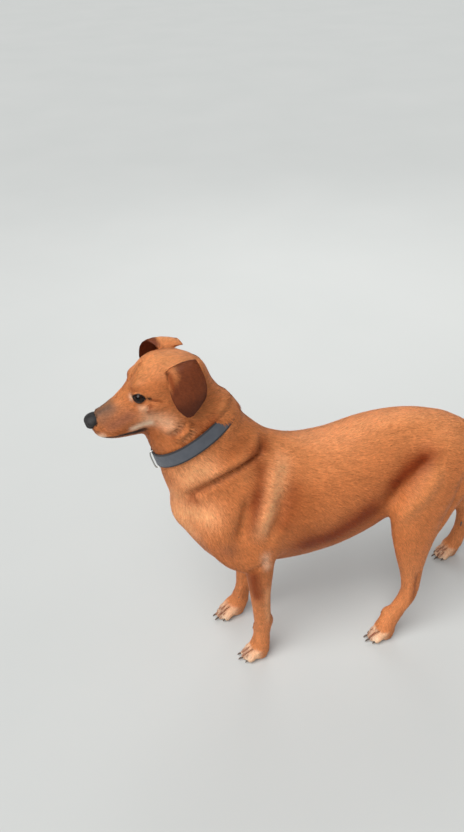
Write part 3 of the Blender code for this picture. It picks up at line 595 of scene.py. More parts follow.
eyes = {side: Eye(side) for side in SIDES}
for eye in eyes.values():
    open_lids(eye)
hide.data.shade_smooth()
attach(hide, "root")
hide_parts(*FLESH)


def light_of(colour):
    """An sRGB hex colour as linear light."""
    parts = [int(colour[i : i + 2], 16) / 255 for i in (1, 3, 5)]
    return np.array([part / 12.92 if part <= 0.04045 else ((part + 0.055) / 1.055) ** 2.4 for part in parts])


def surface_of(name):
    """A new material and its Principled shader."""
    made = bpy.data.materials.new(name)
    made.use_nodes = True
    return made, made.node_tree.nodes["Principled BSDF"]


def add(made, kind, settings, inputs):
    """One node: its own settings, then its inputs, each a value or another node's output."""
    node = made.node_tree.nodes.new(kind)
    for key, value in settings.items():
        setattr(node, key, value)
    for key, value in inputs.items():
        if isinstance(value, bpy.types.NodeSocket):
            made.node_tree.links.new(value, node.inputs[key])
        else:
            node.inputs[key].default_value = value
    return node


def give(made, shader, **inputs):
    """Set or link the shader's own sockets, named with _ for a space."""
    for key, value in inputs.items():
        socket = shader.inputs[key.replace("_", " ")]
        if isinstance(value, bpy.types.NodeSocket):
            made.node_tree.links.new(value, socket)
        else:
            socket.default_value = value


def cover(piece, made):
    piece.data.materials.clear()
    piece.data.materials.append(made)


def store(piece, name, kind, values):
    """Keep a value for each corner of a piece, for its material to read."""
    layer = piece.data.attributes.new(name, kind, "POINT")
    key = {"FLOAT": "value", "FLOAT_COLOR": "color", "FLOAT_VECTOR": "vector"}[kind]
    layer.data.foreach_set(key, np.ascontiguousarray(values, np.float32).ravel())


MIX_A, MIX_B, MIX_OUT = 6, 7, 2  # a Mix node's colour sockets

# Eyes: a black pupil in a dark brown iris with fine rays, under a wet clear cornea.
eye_finish, shader = surface_of("wet eye")
disc = add(eye_finish, "ShaderNodeAttribute", {"attribute_name": "disc"}, {}).outputs["Vector"]
out = add(eye_finish, "ShaderNodeVectorMath", {"operation": "LENGTH"}, {0: disc}).outputs["Value"]
ray = add(eye_finish, "ShaderNodeVectorMath", {"operation": "NORMALIZE"}, {0: disc}).outputs["Vector"]
rays = add(eye_finish, "ShaderNodeTexNoise", {}, {"Vector": ray, "Scale": 14.0, "Detail": 3.0}).outputs["Fac"]
iris = add(eye_finish, "ShaderNodeMix", {"data_type": "RGBA"}, {
    0: rays, MIX_A: (*light_of("#120805"), 1), MIX_B: (*light_of("#33180b"), 1)}).outputs[MIX_OUT]
dark = add(eye_finish, "ShaderNodeMapRange", {"interpolation_type": "SMOOTHSTEP"},
           {"Value": out, "From Min": 0.26, "From Max": 0.33}).outputs[0]
seen = add(eye_finish, "ShaderNodeMix", {"data_type": "RGBA"}, {
    0: dark, MIX_A: (*light_of("#050404"), 1), MIX_B: iris}).outputs[MIX_OUT]
edge = add(eye_finish, "ShaderNodeMapRange", {"interpolation_type": "SMOOTHSTEP"},
           {"Value": out, "From Min": 0.66, "From Max": 0.74}).outputs[0]
seen = add(eye_finish, "ShaderNodeMix", {"data_type": "RGBA"}, {
    0: edge, MIX_A: seen, MIX_B: (*light_of("#140b08"), 1)}).outputs[MIX_OUT]
give(eye_finish, shader, Base_Color=seen, Roughness=0.05, IOR=1.33)

for side, eye in eyes.items():
    bpy.ops.object.select_all(action="DESELECT")
    bpy.ops.mesh.primitive_uv_sphere_add(segments=48, ring_count=32, radius=EYE_RADIUS)
    ball = bpy.context.object
    ball.name = f"eyeball_{side}"
    ball.matrix_world = Matrix(np.stack([eye.front, eye.up, eye.gaze], axis=1).tolist()).to_4x4()
    ball.matrix_world.translation = Vector(eye.seat)
    bpy.ops.object.transform_apply(location=True, rotation=True, scale=True)
    points = corners(ball)
    away, forward, up = eye.over_ball(points)
    turn = np.hypot(forward, up) / EYE_RADIUS
    bulge = 0.0009 * np.clip(1 - (turn / 0.62) ** 2, 0, 1)  # the cornea
    put(ball, eye.seat + (points - eye.seat) * ((away + bulge) / away)[:, None])
    ball.data.shade_smooth()
    _, forward, up = eye.over_ball(corners(ball))
    store(ball, "disc", "FLOAT_VECTOR", np.stack([forward, up, 0 * up], axis=1) / EYE_RADIUS)
    cover(ball, eye_finish)
    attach(ball, "root")
    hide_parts(f"eye_{side}")

# The nose ------------------------------------------------------------------------------------------
# Bare black leather at the tip of the muzzle: a groove down its middle, and on each side a nostril
# whose slit runs out and back. It stands a little proud of the hide, which ends round it.

NOSE_GRAIN = 0.0007  # size of the squares that it is made of
nose = loose_copy("nose_leather", ["nose"])
nose_shape = skin_of(nose)


def in_nose(points):
    """1 within the nose's leather, 0 outside it."""
    depth = np.full(len(points), -1.0)
    for index in np.flatnonzero(in_head(points)[:, 0] > 0.155):
        place, outward, _, _ = nose_shape.find_nearest(points[index])
        depth[index] = outward.dot(place - Vector(points[index]))
    return share(depth, -0.0002, 0.0010)


turn = np.linspace(0, 2 * math.pi, 25)
rim = np.stack([0 * turn + 0.1650, 0.0135 * np.cos(turn), 0.0010 + 0.0115 * np.sin(turn)], axis=1)
modelled(hide, [(on_head(rim), 0.0036, 0.0011, 0.01)])
low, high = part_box("nose")
sunk = 0.35 * in_nose(corners(hide))[:, None]
put(hide, corners(hide) * (1 - sunk) + (np.array(low) + np.array(high)) / 2 * sunk)
worked(nose, "REMESH", mode="VOXEL", voxel_size=NOSE_GRAIN)
put(nose, evened(corners(nose), edges_of(nose), 45))
nostrils = []
for flip in (1, -1):
    opening = in_metres(((190, 5.5, 1), (189, 7.2, 2.2), (187.5, 9, 1.2)))
    slit = in_metres(((187.5, 9, 1.2), (184, 13, -3), (177, 16.8, -5), (170, 18, -4)))
    wing = in_metres(((188, 8.5, 6), (183, 14, 4), (175, 17.5, 1.5)))
    nostrils += [
        (on_head(opening * (1, flip, 1)), 0.0022, -0.0050, 0.01),
        (on_head(slit * (1, flip, 1)), 0.0012, -0.0022, 0.3),
        (on_head(wing * (1, flip, 1)), 0.0030, 0.0006, 0.3),
    ]
middle_line = on_head(in_metres(((189, 0, 5), (190, 0, -1), (186, 0, -9), (179, 0, -15))))
modelled(nose, [*nostrils, (middle_line, 0.0009, -0.0012, 0.2)])
nose.data.shade_smooth()

# Nose: black leather in pebbles about a millimetre across, duller in some patches and damper in others.
nose_finish, shader = surface_of("nose leather")
place = add(nose_finish, "ShaderNodeTexCoord", {}, {}).outputs["Object"]
pebbles = add(nose_finish, "ShaderNodeTexVoronoi", {"feature": "DISTANCE_TO_EDGE"},
              {"Vector": place, "Scale": 900.0}).outputs["Distance"]
step = add(nose_finish, "ShaderNodeMapRange", {}, {"Value": pebbles, "From Max": 0.25}).outputs[0]
bump = add(nose_finish, "ShaderNodeBump", {}, {"Strength": 0.45, "Distance": 0.0003, "Height": step})
worn = add(nose_finish, "ShaderNodeTexNoise", {}, {"Vector": place, "Scale": 160.0, "Detail": 3.0})
worn = worn.outputs["Fac"]
tone = add(nose_finish, "ShaderNodeMix", {"data_type": "RGBA"}, {
    0: worn, MIX_A: (*light_of("#0f0e0f"), 1), MIX_B: (*light_of("#34302f"), 1)}).outputs[MIX_OUT]
sheen = add(nose_finish, "ShaderNodeMapRange", {}, {"Value": worn, "To Min": 0.42, "To Max": 0.6})
give(nose_finish, shader, Base_Color=tone, Roughness=sheen.outputs[0], Normal=bump.outputs[0], IOR=1.45)
cover(nose, nose_finish)
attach(nose, "root")
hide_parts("nose")

# The claws -----------------------------------------------------------------------------------------
# Blunt curved horn, dark brown, growing from the end of each toe and from the dewclaws. All are one
# piece, drawn over the solids and rounded.

claws = loose_copy("claws", [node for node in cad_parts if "claw" in node])
rounded(claws)
claws.data.shade_smooth()

# Claws: horn, streaked along its length, and polished.
claw_finish, shader = surface_of("claw horn")
place = add(claw_finish, "ShaderNodeTexCoord", {}, {}).outputs["Object"]
run = add(claw_finish, "ShaderNodeMapping", {}, {"Vector": place, "Scale": (1500.0, 250.0, 700.0)})
streaks = add(claw_finish, "ShaderNodeTexNoise", {}, {"Vector": run.outputs[0], "Scale": 1.0, "Detail": 3.0})
streaks = streaks.outputs["Fac"]
tone = add(claw_finish, "ShaderNodeMix", {"data_type": "RGBA"}, {
    0: streaks, MIX_A: (*light_of("#2a201b"), 1), MIX_B: (*light_of("#7a6252"), 1)}).outputs[MIX_OUT]
bump = add(claw_finish, "ShaderNodeBump", {}, {"Strength": 0.3, "Distance": 0.0002, "Height": streaks})
give(claw_finish, shader, Base_Color=tone, Roughness=0.32, Normal=bump.outputs[0], IOR=1.54)
cover(claws, claw_finish)
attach(claws, "root")
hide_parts(*(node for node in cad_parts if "claw" in node))

# The collar ----------------------------------------------------------------------------------------
# A flat strap of woven nylon, pressed a little into the coat, with a steel loop at the throat and a
# moulded side-release buckle on the far side of the neck.

STRAP_WIDTH = 0.024
RIB = 0.0016  # from one rib of the weave to the next
STRAP_SIDE = math.radians(60)  # faces that meet at more than this stay a firm edge

pick(strap)
bpy.ops.object.mode_set(mode="EDIT")
bpy.ops.mesh.select_all(action="SELECT")
bpy.ops.mesh.tris_convert_to_quads(face_threshold=math.radians(40), shape_threshold=math.radians(60))
bpy.ops.object.mode_set(mode="OBJECT")
bm = bmesh.new()
bm.from_mesh(strap.data)
crease = bm.edges.layers.float.new("crease_edge")
for edge in bm.edges:
    if edge.calc_face_angle(0) > STRAP_SIDE:
        edge[crease] = 0.85
bm.to_mesh(strap.data)
bm.free()
worked(strap, "SUBSURF", levels=3, render_levels=3)
strap.data.shade_smooth()
turns, across, reach = round_strap(corners(strap))
strap_reach = reach.mean()
corner_of = read(strap.data.loops, "vertex_index", 1)[:, 0]
starts = read(strap.data.polygons, "loop_start", 1)[:, 0]
first = np.repeat(turns[corner_of[starts]], np.diff([*starts, len(corner_of)]))
turned = first + (turns[corner_of] - first + math.pi) % (2 * math.pi) - math.pi
weave = strap.data.uv_layers.new(name="weave")  # metres round the neck and across the strap
lengthwise = np.stack([turned * strap_reach, across[corner_of]], axis=1)
weave.data.foreach_set("uv", lengthwise.astype(np.float32).ravel())

# Webbing: nylon woven flat, in ribs 1.6 mm apart with a firm dark selvage. A real rib is nearer to 1 mm,
# and is drawn coarser so that it shows.
strap_finish, shader = surface_of("nylon webbing")
flat = add(strap_finish, "ShaderNodeUVMap", {"uv_map": "weave"}, {}).outputs["UV"]
flat = add(strap_finish, "ShaderNodeSeparateXYZ", {}, {"Vector": flat})


def ripple(along, pitch):
    """A wave of the given length along the weave, from -1 to 1."""
    turn = add(strap_finish, "ShaderNodeMath", {"operation": "MULTIPLY"}, {0: along, 1: 2 * math.pi / pitch})
    turn = turn.outputs[0]
    return add(strap_finish, "ShaderNodeMath", {"operation": "SINE"}, {0: turn}).outputs[0]


rib = add(strap_finish, "ShaderNodeMath", {"operation": "MULTIPLY"},
          {0: ripple(flat.outputs["X"], RIB), 1: ripple(flat.outputs["Y"], RIB * 1.25)}).outputs[0]
off_middle = add(strap_finish, "ShaderNodeMath", {"operation": "ABSOLUTE"}, {0: flat.outputs["Y"]})
off_middle = off_middle.outputs[0]
selvage = add(strap_finish, "ShaderNodeMapRange", {"interpolation_type": "SMOOTHSTEP"},
              {"Value": off_middle, "From Min": STRAP_WIDTH * 0.37, "From Max": STRAP_WIDTH * 0.43})
selvage = selvage.outputs[0]
place = add(strap_finish, "ShaderNodeTexCoord", {}, {}).outputs["Object"]
fade = add(strap_finish, "ShaderNodeTexNoise", {}, {"Vector": place, "Scale": 90.0, "Detail": 4.0})
fade = fade.outputs["Fac"]
tone = add(strap_finish, "ShaderNodeMix", {"data_type": "RGBA"}, {
    0: fade, MIX_A: (*light_of("#474b54"), 1), MIX_B: (*light_of("#62666e"), 1)}).outputs[MIX_OUT]
tone = add(strap_finish, "ShaderNodeMix", {"data_type": "RGBA"}, {
    0: selvage, MIX_A: tone, MIX_B: (*light_of("#2f2d2f"), 1)}).outputs[MIX_OUT]
# The valleys between the ribs are painted darker as well as bumped: a painted shade.
shade = add(strap_finish, "ShaderNodeMapRange", {},
            {"Value": rib, "From Min": -1.0, "To Min": 0.72, "To Max": 1.12})
tone = add(strap_finish, "ShaderNodeHueSaturation", {}, {"Value": shade.outputs[0], "Color": tone}).outputs[0]
bump = add(strap_finish, "ShaderNodeBump", {}, {"Strength": 0.6, "Distance": 0.0003, "Height": rib})
give(strap_finish, shader, Base_Color=tone, Roughness=0.72, Normal=bump.outputs[0], IOR=1.53,
     Sheen_Weight=0.15)
cover(strap, strap_finish)
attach(strap, "root")
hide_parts("collar")

ring = loose_copy("collar_ring_steel", ["collar_ring"])
rounded(ring)
ring.data.shade_smooth()

# Steel: plated wire, bright, with hair scratches from wear.
steel_finish, shader = surface_of("plated steel")
place = add(steel_finish, "ShaderNodeTexCoord", {}, {}).outputs["Object"]
scratches = add(steel_finish, "ShaderNodeTexNoise", {}, {"Vector": place, "Scale": 700.0, "Detail": 4.0})
scratches = scratches.outputs["Fac"]
dull = add(steel_finish, "ShaderNodeMapRange", {}, {"Value": scratches, "To Min": 0.16, "To Max": 0.38})
bump = add(steel_finish, "ShaderNodeBump", {}, {"Strength": 0.15, "Distance": 0.0001, "Height": scratches})
give(steel_finish, shader, Base_Color=(*light_of("#c9c7c2"), 1), Metallic=1.0, Roughness=dull.outputs[0],
     Normal=bump.outputs[0])
cover(ring, steel_finish)
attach(ring, "root")
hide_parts("collar_ring")

BUCKLE = (0.0400, 0.0290, 0.0075)  # along the strap, across it, and its thickness


def block(name, size, place):
    bpy.ops.object.select_all(action="DESELECT")
    bpy.ops.mesh.primitive_cube_add(size=1, location=place)
    made = bpy.context.object
    made.name = name
    made.scale = size
    bpy.ops.object.transform_apply(location=True, rotation=True, scale=True)
    return made


buckle = block("collar_buckle_clip", BUCKLE, (0, 0, 0))
worked(buckle, "BEVEL", width=0.0022, segments=3)
cuts = [block("window", (0.0150, 0.0060, 0.0200), (0.0010, 0.0110 * flip, 0)) for flip in (1, -1)]
cuts += [block("parting", (0.0009, 0.0400, 0.0020), (0.0110, 0, 0.0036))]
cuts += [block("strap slot", (0.0030, 0.0250, 0.0060), (0.0172 * flip, 0, 0.0040)) for flip in (1, -1)]
for cutter in cuts:
    worked(buckle, "BOOLEAN", operation="DIFFERENCE", object=cutter, solver="EXACT")
    bpy.data.objects.remove(cutter)
prongs = [block("prong", (0.0140, 0.0034, 0.0040), (0.0010, 0.0112 * flip, 0)) for flip in (1, -1)]
for prong in prongs:
    worked(buckle, "BOOLEAN", operation="UNION", object=prong, solver="EXACT")
    bpy.data.objects.remove(prong)
worked(buckle, "BEVEL", width=0.0003, segments=1, limit_method="ANGLE", angle_limit=math.radians(50))
axes = rough_frame(corners(loose_copy("buckle_place", ["collar_buckle"])))[1]
bpy.data.objects.remove(bpy.data.objects["buckle_place"])
low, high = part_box("collar_buckle")
middle = (np.array(low) + np.array(high)) / 2
axes[2] *= np.sign(axes[2] @ (middle - strap_middle))
middle -= axes[2] * 0.0022  # the strap runs through it
axes[0] = np.cross(axes[1], axes[2])
buckle.matrix_world = Matrix(axes.T.tolist()).to_4x4()
buckle.matrix_world.translation = Vector(middle)
pick(buckle)
bpy.ops.object.transform_apply(location=True, rotation=True, scale=True)
bpy.ops.object.shade_smooth_by_angle(angle=math.radians(35))

# Acetal: moulded, black, with the fine spark-eroded texture of its mould.
plastic_finish, shader = surface_of("moulded acetal")
place = add(plastic_finish, "ShaderNodeTexCoord", {}, {}).outputs["Object"]
sparks = add(plastic_finish, "ShaderNodeTexNoise", {}, {"Vector": place, "Scale": 1800.0, "Detail": 2.0})
sparks = sparks.outputs["Fac"]
bump = add(plastic_finish, "ShaderNodeBump", {}, {"Strength": 0.25, "Distance": 0.0001, "Height": sparks})
tone = add(plastic_finish, "ShaderNodeMix", {"data_type": "RGBA"}, {
    0: sparks, MIX_A: (*light_of("#131416"), 1), MIX_B: (*light_of("#24262a"), 1)}).outputs[MIX_OUT]
give(plastic_finish, shader, Base_Color=tone, Roughness=0.45, Normal=bump.outputs[0], IOR=1.48)
cover(buckle, plastic_finish)
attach(buckle, "root")
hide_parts("collar_buckle")

# The markings and painted light ----------------------------------------------------------------------
# Red-gold all over, paler on the cheeks and toes, with chocolate ears, a grey tint on the muzzle, and
# black lips and lids. Over them lie painted shade in the creases, folds and grooves and on what faces
# down, and painted light on what faces up, on the ridges and the crown, on the front of the neck and the
# chest, and on the lower legs. The hide and the coat take them from the same function.

HUES = {name: light_of(colour) for name, colour in {
    "tan": "#d27d46",
    "gold": "#e99a5f",
    "pale gold": "#ffb179",
    "russet": "#a85420",
    "painted shade": "#8a3409",
    "cream": "#fbe0c2",
    "peach": "#ffc89e",
    "chocolate": "#74351a",
    "dark chocolate": "#4a1c0a",
    "muzzle grey": "#6f594c",
    "muzzle rose": "#a8694e",
    "pad": "#2b2320",
    "black": "#100c0a",
}.items()}
HEAD_SPOTS = (  # hue, how much, width, and a line in the head, on its left, in millimetres
    ("muzzle grey", 0.85, 8.5, ((174, 5, 12), (160, 8, 15), (145, 9, 19))),
    ("muzzle grey", 0.45, 7, ((170, 17, 1), (156, 16, 7), (138, 15, 14))),
    ("muzzle rose", 0.75, 11, ((160, 19, -8), (140, 20, -6), (120, 21, -2))),
    ("russet", 0.55, 6, ((156, 20.5, -20), (140, 21, -22), (128, 21.5, -24))),
    ("cream", 0.6, 5, ((178, 9, -18.5), (170, 17, -19.5))),
    ("peach", 0.75, 14, ((105, 30, -12), (90, 36, -20), (75, 42, -30))),
    ("cream", 0.85, 5, ((133, 21.5, -25), (115, 26, -23), (98, 33, -23))),
    ("cream", 0.65, 4.5, ((111, 17, 24), (110, 19, 18))),
    ("peach", 0.7, 5.5, ((106, 27, 5), (95, 33, 3))),
    # painted light on the crown
    ("gold", 0.6, 18, ((90, 8, 45), (60, 10, 55), (30, 10, 55))),
    # painted shade behind and below the eye, and in the cheek and throat folds
    ("painted shade", 0.6, 2.4, ((85, 37.6, 15), (74, 42.4, 8.8))),
    ("painted shade", 0.65, 2.4, ((88.5, 38, 9), (99.5, 34, -4.6))),
    ("painted shade", 0.8, 4.2, ((82.7, 43.8, -52.3), (61.8, 49.3, -45.6), (50.9, 48.8, -33.8))),
    ("painted shade", 0.7, 4.5, ((35.3, 49.5, -39.7), (45.3, 51.7, -56.8), (75.1, 49, -73))),
    # a painted highlight along the dewlap
    ("pale gold", 0.55, 4.5, ((44, 50, -48), (56, 51, -56), (72, 49, -63))),
    # painted shade under the jaw
    ("russet", 0.45, 14, ((95, 30, -42), (105, 15, -42), (110, 5, -42))),
    # painted shade at the front edge of the ear
    ("painted shade", 0.8, 4.5, ((44.2, 43.2, 53.6), (44.5, 51.2, 49.5), (45.7, 56.2, 36.7), (46.2, 59.9, 20.9))),
    ("russet", 0.4, 4, ((93.2, 34.2, -21.4), (92.5, 34.2, -21))),
)
BODY_SPOTS = (  # the same, as places on the model, or the name of a line of the body's modelling
    # painted light, pale gold, on the front of the neck and the chest
    ("pale gold", 0.95, 20, ((40, -279, 428), (50, -256, 449), (55, -232, 458))),
    ("pale gold", 0.85, 20, ((23, -285, 415), (16, -283, 360), (30, -272, 330), (45, -260, 313))),
    ("russet", 0.35, 12, ((52, -204, 476), (35, -166, 485))),
    # painted light on the chest
    ("pale gold", 1, 27, ((16, -283, 360), (45, -262, 372), (60, -235, 365))),
    # painted shade below the collar, in the neck crease, and in the hollows before and behind the shoulder
    ("painted shade", 0.6, 12, ((25, -136, 466), (48, -167, 461), (51, -156, 435))),
    ("painted shade", 0.75, 8, "neck crease"),
    ("painted shade", 0.6, 12, ((51, -151, 435), (64, -161, 403), (72, -170, 370))),
    ("painted shade", 0.75, 10, ((64, -161, 403), (72, -170, 370), (78, -175, 328))),
    ("painted shade", 0.55, 15, ((58, -102, 399), (71, -110, 370), (79, -128, 320))),
    # painted shade, russet, behind the shoulder
    ("russet", 0.4, 26, ((70, -85, 380), (76, -90, 330), (78, -95, 290))),
    # a painted highlight along the shoulder ridge
    ("pale gold", 1, 16.5, "shoulder ridge"),
    ("muzzle rose", 0.35, 17, ((79, -223, 310), (79, -215, 295))),
    # painted shade in the flank fold and along the low ribs
    ("painted shade", 1, 21, ((65, 140, 398), (65, 101, 375), (72, 64, 347))),
    ("painted shade", 0.95, 27, ((73, -100, 267), (77, -35, 279), (79, 18, 310), (74, 50, 325))),
    # a painted highlight on the thigh
    ("gold", 0.45, 16, "thigh"),
    ("cream", 0.38, 8, ((84, -157, 281), (86, -153, 260), (86, -151, 244))),
    # painted shade down the front of the foreleg
    ("painted shade", 0.85, 13, ((81, -175, 241), (79, -170, 193), (77, -164, 170))),
    ("pale gold", 0.8, 6, ((79, -148, 200), (79, -146, 162), (70, -143, 100))),
    # painted shade in the left hock groove
    ("painted shade", 0.5, 6, ((100, 129, 166), (100, 130, 120), (100, 125, 96))),
    # a painted shadow of the ear on the side of the neck
    ("painted shade", 0.85, 11, ((47, -222, 533), (47, -231, 525), (53, -245, 508))),
)
hide_skin = skin_of(hide)


def markings_and_painted_light(points, upward, parts):
    """The coat's colour at each place, painted light and shade included, and how bare the skin is there."""
    colour = np.tile(HUES["tan"], (len(points), 1))

    def lay(hue, much):
        nonlocal colour
        much = np.clip(much, 0, 1)[:, None]
        colour = colour * (1 - much) + HUES[hue] * much

    forward, across, up = in_head(points).T
    # Painted light: what faces up is painted gold and pale gold, and what stands below about 0.2 m paler.
    lay("gold", 0.60 * share(upward, 0.2, 0.95) * (parts != "paw"))
    lay("pale gold", 0.45 * share(upward, 0.75, 1.0))
    lay("pale gold", 0.18 * share(0.20 - points[:, 2], -0.05, 0.05))
    # Painted shade: what faces down is painted russet.
    lay("russet", 0.50 * share(-upward, 0.0, 0.8))
    lay("cream", 0.35 * share(-upward, 0.45, 0.9) * (parts == "trunk") * share(points[:, 1], -0.12, -0.02))
    for rows, place, right_share in ((HEAD_SPOTS, on_head, 1.0), (BODY_SPOTS, np.asarray, 0.5)):
        for hue, much, width, path in rows:
            path = BODY_LINES[path][2] if isinstance(path, str) else place(in_metres(path))
            for side, part in (("left", 1.0), ("right", right_share)):
                near = nearness(points, hide_skin, mirrored(path, side), width / 1000, 0.15)
                lay(hue, much * part * near)

    ear = parts == "ear"
    left_band = np.interp(up, (-0.005, 0.020, 0.045), (0.080, 0.060, 0.036))
    right_band = np.interp(up, (0.030, 0.042), (0.066, 0.040))
    left = across > 0
    lay("chocolate", 0.95 * ear * left * share(left_band - forward, -0.006, 0.008))
    band = np.maximum(share(forward - right_band, -0.003, 0.003), share(0.037 - up, 0, 0.006))
    lay("chocolate", 0.95 * ear * ~left * band)
    lay("dark chocolate", 0.75 * ear * share(0.018 - up, 0, 0.030))
    near_lips = on_head(raised(mouth, -0.0014))
    lay("black", 1.3 * nearness(points, hide_skin, near_lips, 0.0028, 0.01) ** 0.7)
    for side in SIDES:
        lay("black", 1.1 * nearness(points, hide_skin, mirrored(on_head(LIPS[:5]), side), 0.0036, 0.3) ** 0.8)

    bare = np.maximum(nearness(points, hide_skin, near_lips, 0.0022, 0.01), in_nose(points))
    lay("black", in_nose(points))
    for eye in eyes.values():
        _, ahead, above = eye.over_ball(points)
        near = np.linalg.norm(points - eye.seat - eye.gaze * EYE_RADIUS, axis=1) < 0.018
        rim = near * (1 - share(eye.opening(ahead, above), 1.20, 1.55))
        corner = near * np.exp(-(((ahead + 0.0140) / 0.0050) ** 2 + (above / 0.0022) ** 2))
        tear = near * np.exp(-(((ahead - 0.0130) / 0.0032) ** 2 + ((above + 0.0004) / 0.0020) ** 2))
        lay("black", np.maximum(rim, np.maximum(corner, tear)))
        bare = np.maximum(bare, near * (1 - share(eye.opening(ahead, above), 1.15, 1.5)))

    paw = parts == "paw"
    for foot, (_, _, reach, _) in FEET.items():
        start = np.array(foot_point(foot, 0, 0, 0))
        ahead = (np.array(foot_point(foot, 0, 1, 0)) - start) / reach
        on_foot = paw * (np.linalg.norm((points - start)[:, :2], axis=1) < 0.06)
        measure = (points - start) @ ahead / reach
        lay("peach", 0.9 * on_foot * share(measure, -0.35, 0.20) * share(0.044 - points[:, 2], 0, 0.018))
        lay("cream", 0.6 * on_foot * share(measure, 0.30, 0.80))
        # painted shade in the grooves between the toes
        for groove in between_toes(foot):
            lay("painted shade", 0.75 * nearness(points, hide_skin, groove, 0.0020, 0.2))
    pad = paw * share(0.0035 - points[:, 2], 0, 0.002)
    lay("pad", pad)
    return colour, np.maximum(bare, pad)


def mottled(made, strength):
    """The painted colours, light and shade included, a little uneven, as each lock of a coat is."""
    place = add(made, "ShaderNodeTexCoord", {}, {}).outputs["Object"]
    painted = add(made, "ShaderNodeAttribute", {"attribute_name": "coat_colour_and_painted_light"}, {}).outputs["Color"]
    patches, locks = 38.0, 240.0  # to the metre: patches 26 mm wide, and locks 4 mm wide
    broad = add(made, "ShaderNodeTexNoise", {}, {"Vector": place, "Scale": patches, "Detail": 3.0})
    close = add(made, "ShaderNodeTexNoise", {}, {"Vector": place, "Scale": locks, "Detail": 2.0})
    both = add(made, "ShaderNodeMath", {"operation": "ADD"},
               {0: broad.outputs["Fac"], 1: close.outputs["Fac"]})
    value = add(made, "ShaderNodeMapRange", {}, {"Value": both.outputs[0], "From Min": 0.7, "From Max": 1.3,
                                                 "To Min": 1 - strength, "To Max": 1 + strength})
    shaded = add(made, "ShaderNodeHueSaturation", {}, {"Value": value.outputs[0], "Color": painted})
    return shaded.outputs[0], place


# Skin: seen only between the hairs and where it is bare, so it has the coat's colours with their painted
# light and shade, a fine hair grain, and pores.
skin_finish, shader = surface_of("dog skin")
colour, place = mottled(skin_finish, 0.14)
grain = add(skin_finish, "ShaderNodeMapping", {}, {"Vector": place, "Scale": (900.0, 260.0, 420.0)})
hairs = add(skin_finish, "ShaderNodeTexNoise", {}, {"Vector": grain.outputs[0], "Scale": 1.0, "Detail": 2.0})
pores = add(skin_finish, "ShaderNodeTexVoronoi", {}, {"Vector": place, "Scale": 900.0})
height = add(skin_finish, "ShaderNodeMath", {"operation": "ADD"},
             {0: hairs.outputs["Fac"], 1: pores.outputs["Distance"]}).outputs[0]
bump = add(skin_finish, "ShaderNodeBump", {}, {"Strength": 0.5, "Distance": 0.0004, "Height": height})
bareness = add(skin_finish, "ShaderNodeAttribute", {"attribute_name": "bare"}, {}).outputs["Fac"]
gloss = add(skin_finish, "ShaderNodeMapRange", {}, {"Value": bareness, "To Min": 0.75, "To Max": 0.38})
give(skin_finish, shader, Base_Color=colour, Roughness=gloss.outputs[0], Normal=bump.outputs[0], IOR=1.4)
cover(hide, skin_finish)

figures, parts = coat_at(hide, 6)
points, outward = corners(hide), corners(hide, "normal")
links = edges_of(hide)
upward = evened(outward, links, 10)[:, 2]
paint, bareness = markings_and_painted_light(points, upward, parts)
store(hide, "coat_colour_and_painted_light", "FLOAT_COLOR", np.concatenate([paint * 0.94, np.ones((len(paint), 1))], axis=1))
store(hide, "bare", "FLOAT", bareness)

# The coat ------------------------------------------------------------------------------------------
# Short, close hair, drawn as thin pointed locks that overlap and lie along the body, from the nose back
# and down the legs to the toes. They are shortest on the face, ears and feet, and none are on bare skin.

RNG = np.random.default_rng(41)


def way_from_nose(points, links):
    """How far each corner is from the nose, going over the skin."""
    lengths = np.linalg.norm(points[links[:, 0]] - points[links[:, 1]], axis=1)
    ways = [[] for _ in points]
    for (start, end), length in zip(links.tolist(), lengths.tolist()):
        ways[start].append((end, length))
        ways[end].append((start, length))
    far = [math.inf] * len(points)
    first = int(in_head(points)[:, 0].argmax())
    far[first] = 0.0
    queue = [(0.0, first)]
    while queue:
        reach, here = heapq.heappop(queue)
        if reach > far[here]:
            continue
        for there, length in ways[here]:
            if reach + length < far[there]:
                far[there] = reach + length
                heapq.heappush(queue, (reach + length, there))
    return np.array(far)


def flattened(vectors, outward):
    """The part of each vector that lies along the skin, at unit length."""
    vectors = vectors - outward * np.sum(vectors * outward, axis=1)[:, None]
    return vectors / np.maximum(np.linalg.norm(vectors, axis=1), 1e-9)[:, None]


far = way_from_nose(points, links)
far[~np.isfinite(far)] = 0
far = evened(far, links, 12)
steps = points[links[:, 1]] - points[links[:, 0]]
rise = (far[links[:, 1]] - far[links[:, 0]]) / np.maximum(np.sum(steps**2, axis=1), 1e-10)
lie = np.zeros_like(points)
for k in range(3):
    lie[:, k] = np.bincount(links[:, 0], rise * steps[:, k], len(points))
    lie[:, k] += np.bincount(links[:, 1], rise * steps[:, k], len(points))
lie = flattened(lie, outward)
lie = flattened(evened(lie, links, 30), outward)
hang = np.where(np.isin(parts, ("trunk", "neck")), 0.28, 0.0) * (1 - np.abs(outward[:, 2]))
lie = flattened(lie + hang[:, None] * np.array((0, 0, -1.0)), outward)

hide.data.calc_loop_triangles()
triangles = read(hide.data.loop_triangles, "vertices", 3)
loops = read(hide.data.loop_triangles, "loops", 3)
pick(hide)
bpy.ops.object.mode_set(mode="EDIT")
bpy.ops.mesh.select_all(action="SELECT")
bpy.ops.uv.smart_project(angle_limit=math.radians(66), island_margin=0.001)
bpy.ops.object.mode_set(mode="OBJECT")
unwrap = read(hide.data.uv_layers.active.data, "uv", 2, np.float32)

